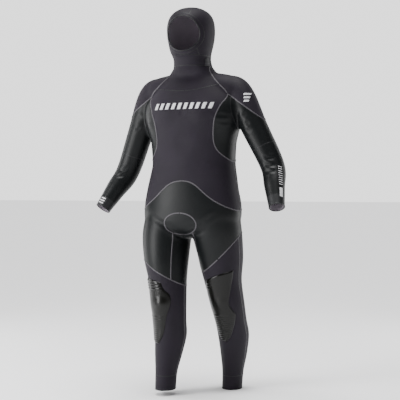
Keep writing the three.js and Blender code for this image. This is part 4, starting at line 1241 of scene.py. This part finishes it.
class WETSUIT_OT_zip(bpy.types.Operator):
    """Fits the back zip: its tape, teeth, slider and pull"""

    bl_idname = "wetsuit.zip"
    bl_label = "Back zip"

    def execute(self, context):
        sizes, looks, mm = context.scene.suit_sizes, materials(), 0.001
        lowest, highest = (own(c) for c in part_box("zip_chain"))
        low, high = lowest[2], highest[2]
        tape = with_tree(down_the_back(0, low - 12, high + 8, 60, 0.1), seam_tree(), {
            "Width": 25 * mm, "Rise": 0.9 * mm, "Step": 0.5, "Stitch length": mm, "Stitch thickness": 0.3 * mm,
            "Tape": looks["webbing"], "Thread": looks["webbing"]}, "zip_tape")
        edges = [with_tree(down_the_back(x, low - 14, high + 10, 60, 0), seam_tree(), {
            "Width": 6 * mm, "Rise": 1.2 * mm, "Step": sizes.stitch * mm, "Stitch length": 4.4 * mm,
            "Stitch thickness": 0.8 * mm, "Tape": looks["tape"], "Thread": looks["thread"],
        }, f"zip_binding_{i}") for i, x in enumerate((-14.5, 14.5))]
        teeth = with_tree(down_the_back(0, low, high, 90, 0.5), tooth_tree(), {
            "Pitch": sizes.tooth * mm, "Reach": 4.2 * mm, "Height": 1.9 * mm, "Teeth": looks["acetal"]}, "zip_chain")
        for piece, node in ((tape, "zip_tape"), (teeth, "zip_chain")):
            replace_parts(follow(piece, "core"), node)
        for piece in edges:
            follow(piece, "core")
        a, b = (own(c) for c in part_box("zip_slider"))
        x, foot = (a[0] + b[0]) / 2, a[1] + 1.4
        mid, top = (a[2] + b[2]) / 2, b[2]
        wedge = [(x - 3.8, a[2]), (x + 3.8, a[2]), (x + 6.5, mid), (x + 6.5, top - 3),
                 (x + 2.2, top), (x - 2.2, top), (x - 6.5, top - 3), (x - 6.5, mid)]
        plate = cut_block("plate", wedge, foot, foot + 2.4, 0.7)
        post = cut_block("post", oval(x, mid - 5, 2.0, 2.0), foot + 2, foot + 4.8, 0.3)
        post_2 = cut_block("post", oval(x, mid + 6, 2.0, 2.0), foot + 2, foot + 4.8, 0.3)
        bridge = cut_block("bridge", oval(x, mid + 0.5, 2.3, 8.2), foot + 4.2, foot + 5.8, 0.6)
        slider = joined("zip_slider", plate, post, post_2, bridge)
        c, d = (own(v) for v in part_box("zip_pull"))
        y0, y1 = c[1] + 1.0, d[1] + 1.0
        half = (d[0] - c[0]) / 2
        neck = [(x - 2.6, d[2]), (x + 2.6, d[2]), (x + 2.6, d[2] - 7), (x + half, d[2] - 13), (x + half, c[2] + 3),
                (x + half - 2, c[2]), (x - half + 2, c[2]), (x - half, c[2] + 3), (x - half, d[2] - 13),
                (x - 2.6, d[2] - 7)]
        body = cut_block("body", neck, y0, y1, 0.6)
        left, right = x - half + 1.2, x + half - 1.2
        grips = [cut_block("grip", [(left, z), (right, z), (right, z + 1.3), (left, z + 1.3)],
                           y1 - 0.3, y1 + 0.7, 0.3)
                 for z in np.arange(c[2] + 4, d[2] - 14, 3.2)]
        pull = joined("zip_pull_tag", body, *grips)
        for piece, node, on in ((slider, "zip_slider", "slider"), (pull, "zip_pull", "pull")):
            piece.data.materials.append(looks["acetal"])
            for poly in piece.data.polygons:
                poly.use_smooth = False
            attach(piece, on)
            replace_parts(piece, node)
        return {"FINISHED"}


def bar_grid(corner, along, across, slant, steps):
    """Points over one slanted bar, from a corner, along its length and across it."""
    rows, columns = steps
    s, t = np.meshgrid(np.linspace(0, 1, columns), np.linspace(0, 1, rows))
    s = s + t * slant
    points = np.asarray(corner) + s.reshape(-1, 1) * np.asarray(along) + t.reshape(-1, 1) * np.asarray(across)
    return points, (rows, columns)


class WETSUIT_OT_prints(bpy.types.Operator):
    """Prints plain slanted bars on the chest, the left shoulder, the left forearm and the right cuff"""

    bl_idname = "wetsuit.prints"
    bl_label = "Printed bars"

    def execute(self, context):
        bars = {}
        # Chest: ten equal slim bars, leaning to the right; the middle gap falls on the middle of the chest.
        for k in range(10):
            x = -135 + 28 * k
            side = "right" if k < 5 else "left"
            points, shape = bar_grid((x, 20, 1246), (15, 0, 0), (0, 0, 27), 0.5, (10, 7))
            bars.setdefault("shoulder_" + side, []).append((points, 0.0, shape))
        # Left shoulder: three short bars one over the other.
        for k in range(3):
            z = 1306 - 15 * k
            points, shape = bar_grid((222, 24, z), (30 - 5 * k, 15 - 2.5 * k, 0), (0, 0, 8), 0.15, (5, 8))
            bars.setdefault("shoulder_left", []).append((points, 27.0, shape))
        # Left forearm: a ladder of fine ticks, then one block above the seal.
        e, lower = ELBOW["left"], LOWER["left"]
        side_on = np.cross(lower, way(52))
        side_on /= np.linalg.norm(side_on)
        for k in range(9):
            points, shape = bar_grid(e + lower * (6 + 11 * k) - side_on * 9, side_on * 18, lower * 2.6, 0.0, (3, 7))
            bars.setdefault("elbow_left", []).append((points, 52.0, shape))
        points, shape = bar_grid(e + lower * 112 - side_on * 7, side_on * 14, lower * 44, 0.0, (12, 6))
        bars["elbow_left"].append((points, 52.0, shape))
        lower = LOWER["right"]
        side_on = np.cross(lower, way(-14))
        side_on /= np.linalg.norm(side_on)
        for k in range(3):
            corner = CUFF_END["right"] - lower * (60 - 12 * k) - side_on * 12
            points, shape = bar_grid(corner, side_on * 24, lower * 5, 0.0, (4, 8))
            zone = "elbow_right" if k < 1 else "wrist_right"
            bars.setdefault(zone, []).append((points, -14.0, shape))
        for zone, wanted in bars.items():
            made = [lying("bar", points, [turn] * len(points), shape, np.full(len(points), 0.7), 0.3)
                    for points, turn, shape in wanted]
            whole = joined("print_" + zone, *made)
            whole.data.materials.append(materials()["ink"])
            follow(whole, zone)
        return {"FINISHED"}


class WETSUIT_OT_stage(bpy.types.Operator):
    """Sets the pale floor, the soft lights and the camera"""

    bl_idname = "wetsuit.stage"
    bl_label = "Stage"

    def execute(self, context):
        scene = context.scene
        low, high = cad_box
        middle = (low + high) / 2
        floor = new_object("floor", bpy.data.meshes.new("floor"))
        reach, just_under = 60.0, -0.0015
        corners = [(u * reach, v * reach, just_under) for u, v in ((-1, -1), (1, -1), (1, 1), (-1, 1))]
        floor.data.from_pydata(corners, [], [(0, 1, 2, 3)])
        paper = bpy.data.materials.new("Studio paper, matt white")
        paper.use_nodes = True
        shader = paper.node_tree.nodes["Principled BSDF"]
        shader.inputs["Base Color"].default_value = linear("#f4f4f5")
        shader.inputs["Roughness"].default_value = 0.9
        floor.data.materials.append(paper)
        turn = math.radians(CAMERA_TURN)
        away = Vector((math.sin(turn), -math.cos(turn), 0))
        right = Vector((math.cos(turn), math.sin(turn), 0))
        lights = [  # name, place, width, height, watts
            ("key", away * 1.3 - right * 2.7 + Vector((0, 0, 1.5)), 1.0, 2.4, 130),
            ("front_fill", away * 3.2 + right * 1.6 + Vector((0, 0, 2.0)), 2.2, 2.2, 4),
            ("rim_left", -away * 1.4 - right * 2.2 + Vector((0, 0, 1.4)), 0.9, 2.4, 30),
            ("rim_right", -away * 1.5 + right * 2.2 + Vector((0, 0, 1.4)), 0.9, 2.4, 22),
            ("top", Vector((0, 0, 3.4)), 2.0, 2.0, 6),
        ]
        for name, place, wide, tall, power in lights:
            light = bpy.data.lights.new(name, "AREA")
            light.shape, light.size, light.size_y, light.energy = "RECTANGLE", wide, tall, power
            lamp = bpy.data.objects.new(name, light)
            scene.collection.objects.link(lamp)
            lamp.location = middle + place - Vector((0, 0, middle.z))
            lamp.rotation_euler = (middle + Vector((0, 0, 0.1)) - lamp.location).to_track_quat("-Z", "Y").to_euler()
        # An even light from overhead keeps the floor pale out to its edge, and leaves the suit's sides dark.
        overhead = bpy.data.lights.new("overhead", "SUN")
        overhead.energy, overhead.angle = 5.0, math.radians(40)
        lamp = bpy.data.objects.new("overhead", overhead)
        scene.collection.objects.link(lamp)
        lamp.rotation_euler = (0.06, 0.0, 0.0)
        world = bpy.data.worlds.new("studio")
        scene.world = world
        world.use_nodes = True
        # The paper seen behind the suit is bright, and what it throws on the suit is soft.
        tree = world.node_tree
        tree.nodes.clear()
        seen = add(tree, "ShaderNodeLightPath").outputs["Is Camera Ray"]
        strengths = {"To Min": 0.11, "To Max": 1.95}
        strength = add(tree, "ShaderNodeMapRange", {"Value": seen}, strengths).outputs["Result"]
        sky = add(tree, "ShaderNodeBackground", {"Strength": strength}, {"Color": linear("#ffffff")})
        add(tree, "ShaderNodeOutputWorld", {"Surface": sky.outputs[0]})
        lens = bpy.data.cameras.new("camera")
        lens.lens, lens.sensor_width = 85, 36
        camera = bpy.data.objects.new("camera", lens)
        scene.collection.objects.link(camera)
        shown, aim_height = 1.78, 0.853  # metres of height in the frame at the suit, and the middle of them
        distance = shown / 2 / (lens.sensor_width / 2 / lens.lens)
        aim = Vector((middle.x, middle.y, aim_height)) + right * 0.012
        camera.location = aim + away * distance + Vector((0, 0, 0.05))
        camera.rotation_euler = (aim - camera.location).to_track_quat("-Z", "Y").to_euler()
        scene.camera = camera
        return {"FINISHED"}


class WETSUIT_PT_panel(bpy.types.Panel):
    """The suit's sizes, colours and steps"""

    bl_label = "Wetsuit"
    bl_idname = "WETSUIT_PT_panel"
    bl_space_type = "VIEW_3D"
    bl_region_type = "UI"
    bl_category = "Wetsuit"

    def draw(self, context):
        for group in (context.scene.suit_sizes, context.scene.suit_colours):
            box = self.layout.box()
            for name in group.__annotations__:
                box.prop(group, name)
        for step in STEPS:
            self.layout.operator(step.bl_idname)


STEPS = (WETSUIT_OT_panels, WETSUIT_OT_seams, WETSUIT_OT_pads, WETSUIT_OT_tab, WETSUIT_OT_zip, WETSUIT_OT_prints,
         WETSUIT_OT_stage)
CLASSES = (SuitSizes, SuitColours, *STEPS, WETSUIT_PT_panel)


def register():
    for c in CLASSES:
        bpy.utils.register_class(c)
    bpy.types.Scene.suit_sizes = bpy.props.PointerProperty(type=SuitSizes)
    bpy.types.Scene.suit_colours = bpy.props.PointerProperty(type=SuitColours)


def unregister():
    del bpy.types.Scene.suit_colours, bpy.types.Scene.suit_sizes
    for c in reversed(CLASSES):
        bpy.utils.unregister_class(c)


def main():
    register()
    bpy.ops.wetsuit.panels()
    bpy.ops.wetsuit.seams()
    bpy.ops.wetsuit.knee_pads()
    bpy.ops.wetsuit.neck_tab()
    bpy.ops.wetsuit.zip()
    bpy.ops.wetsuit.prints()
    bpy.ops.wetsuit.stage()


if __name__ == "__main__":
    main()
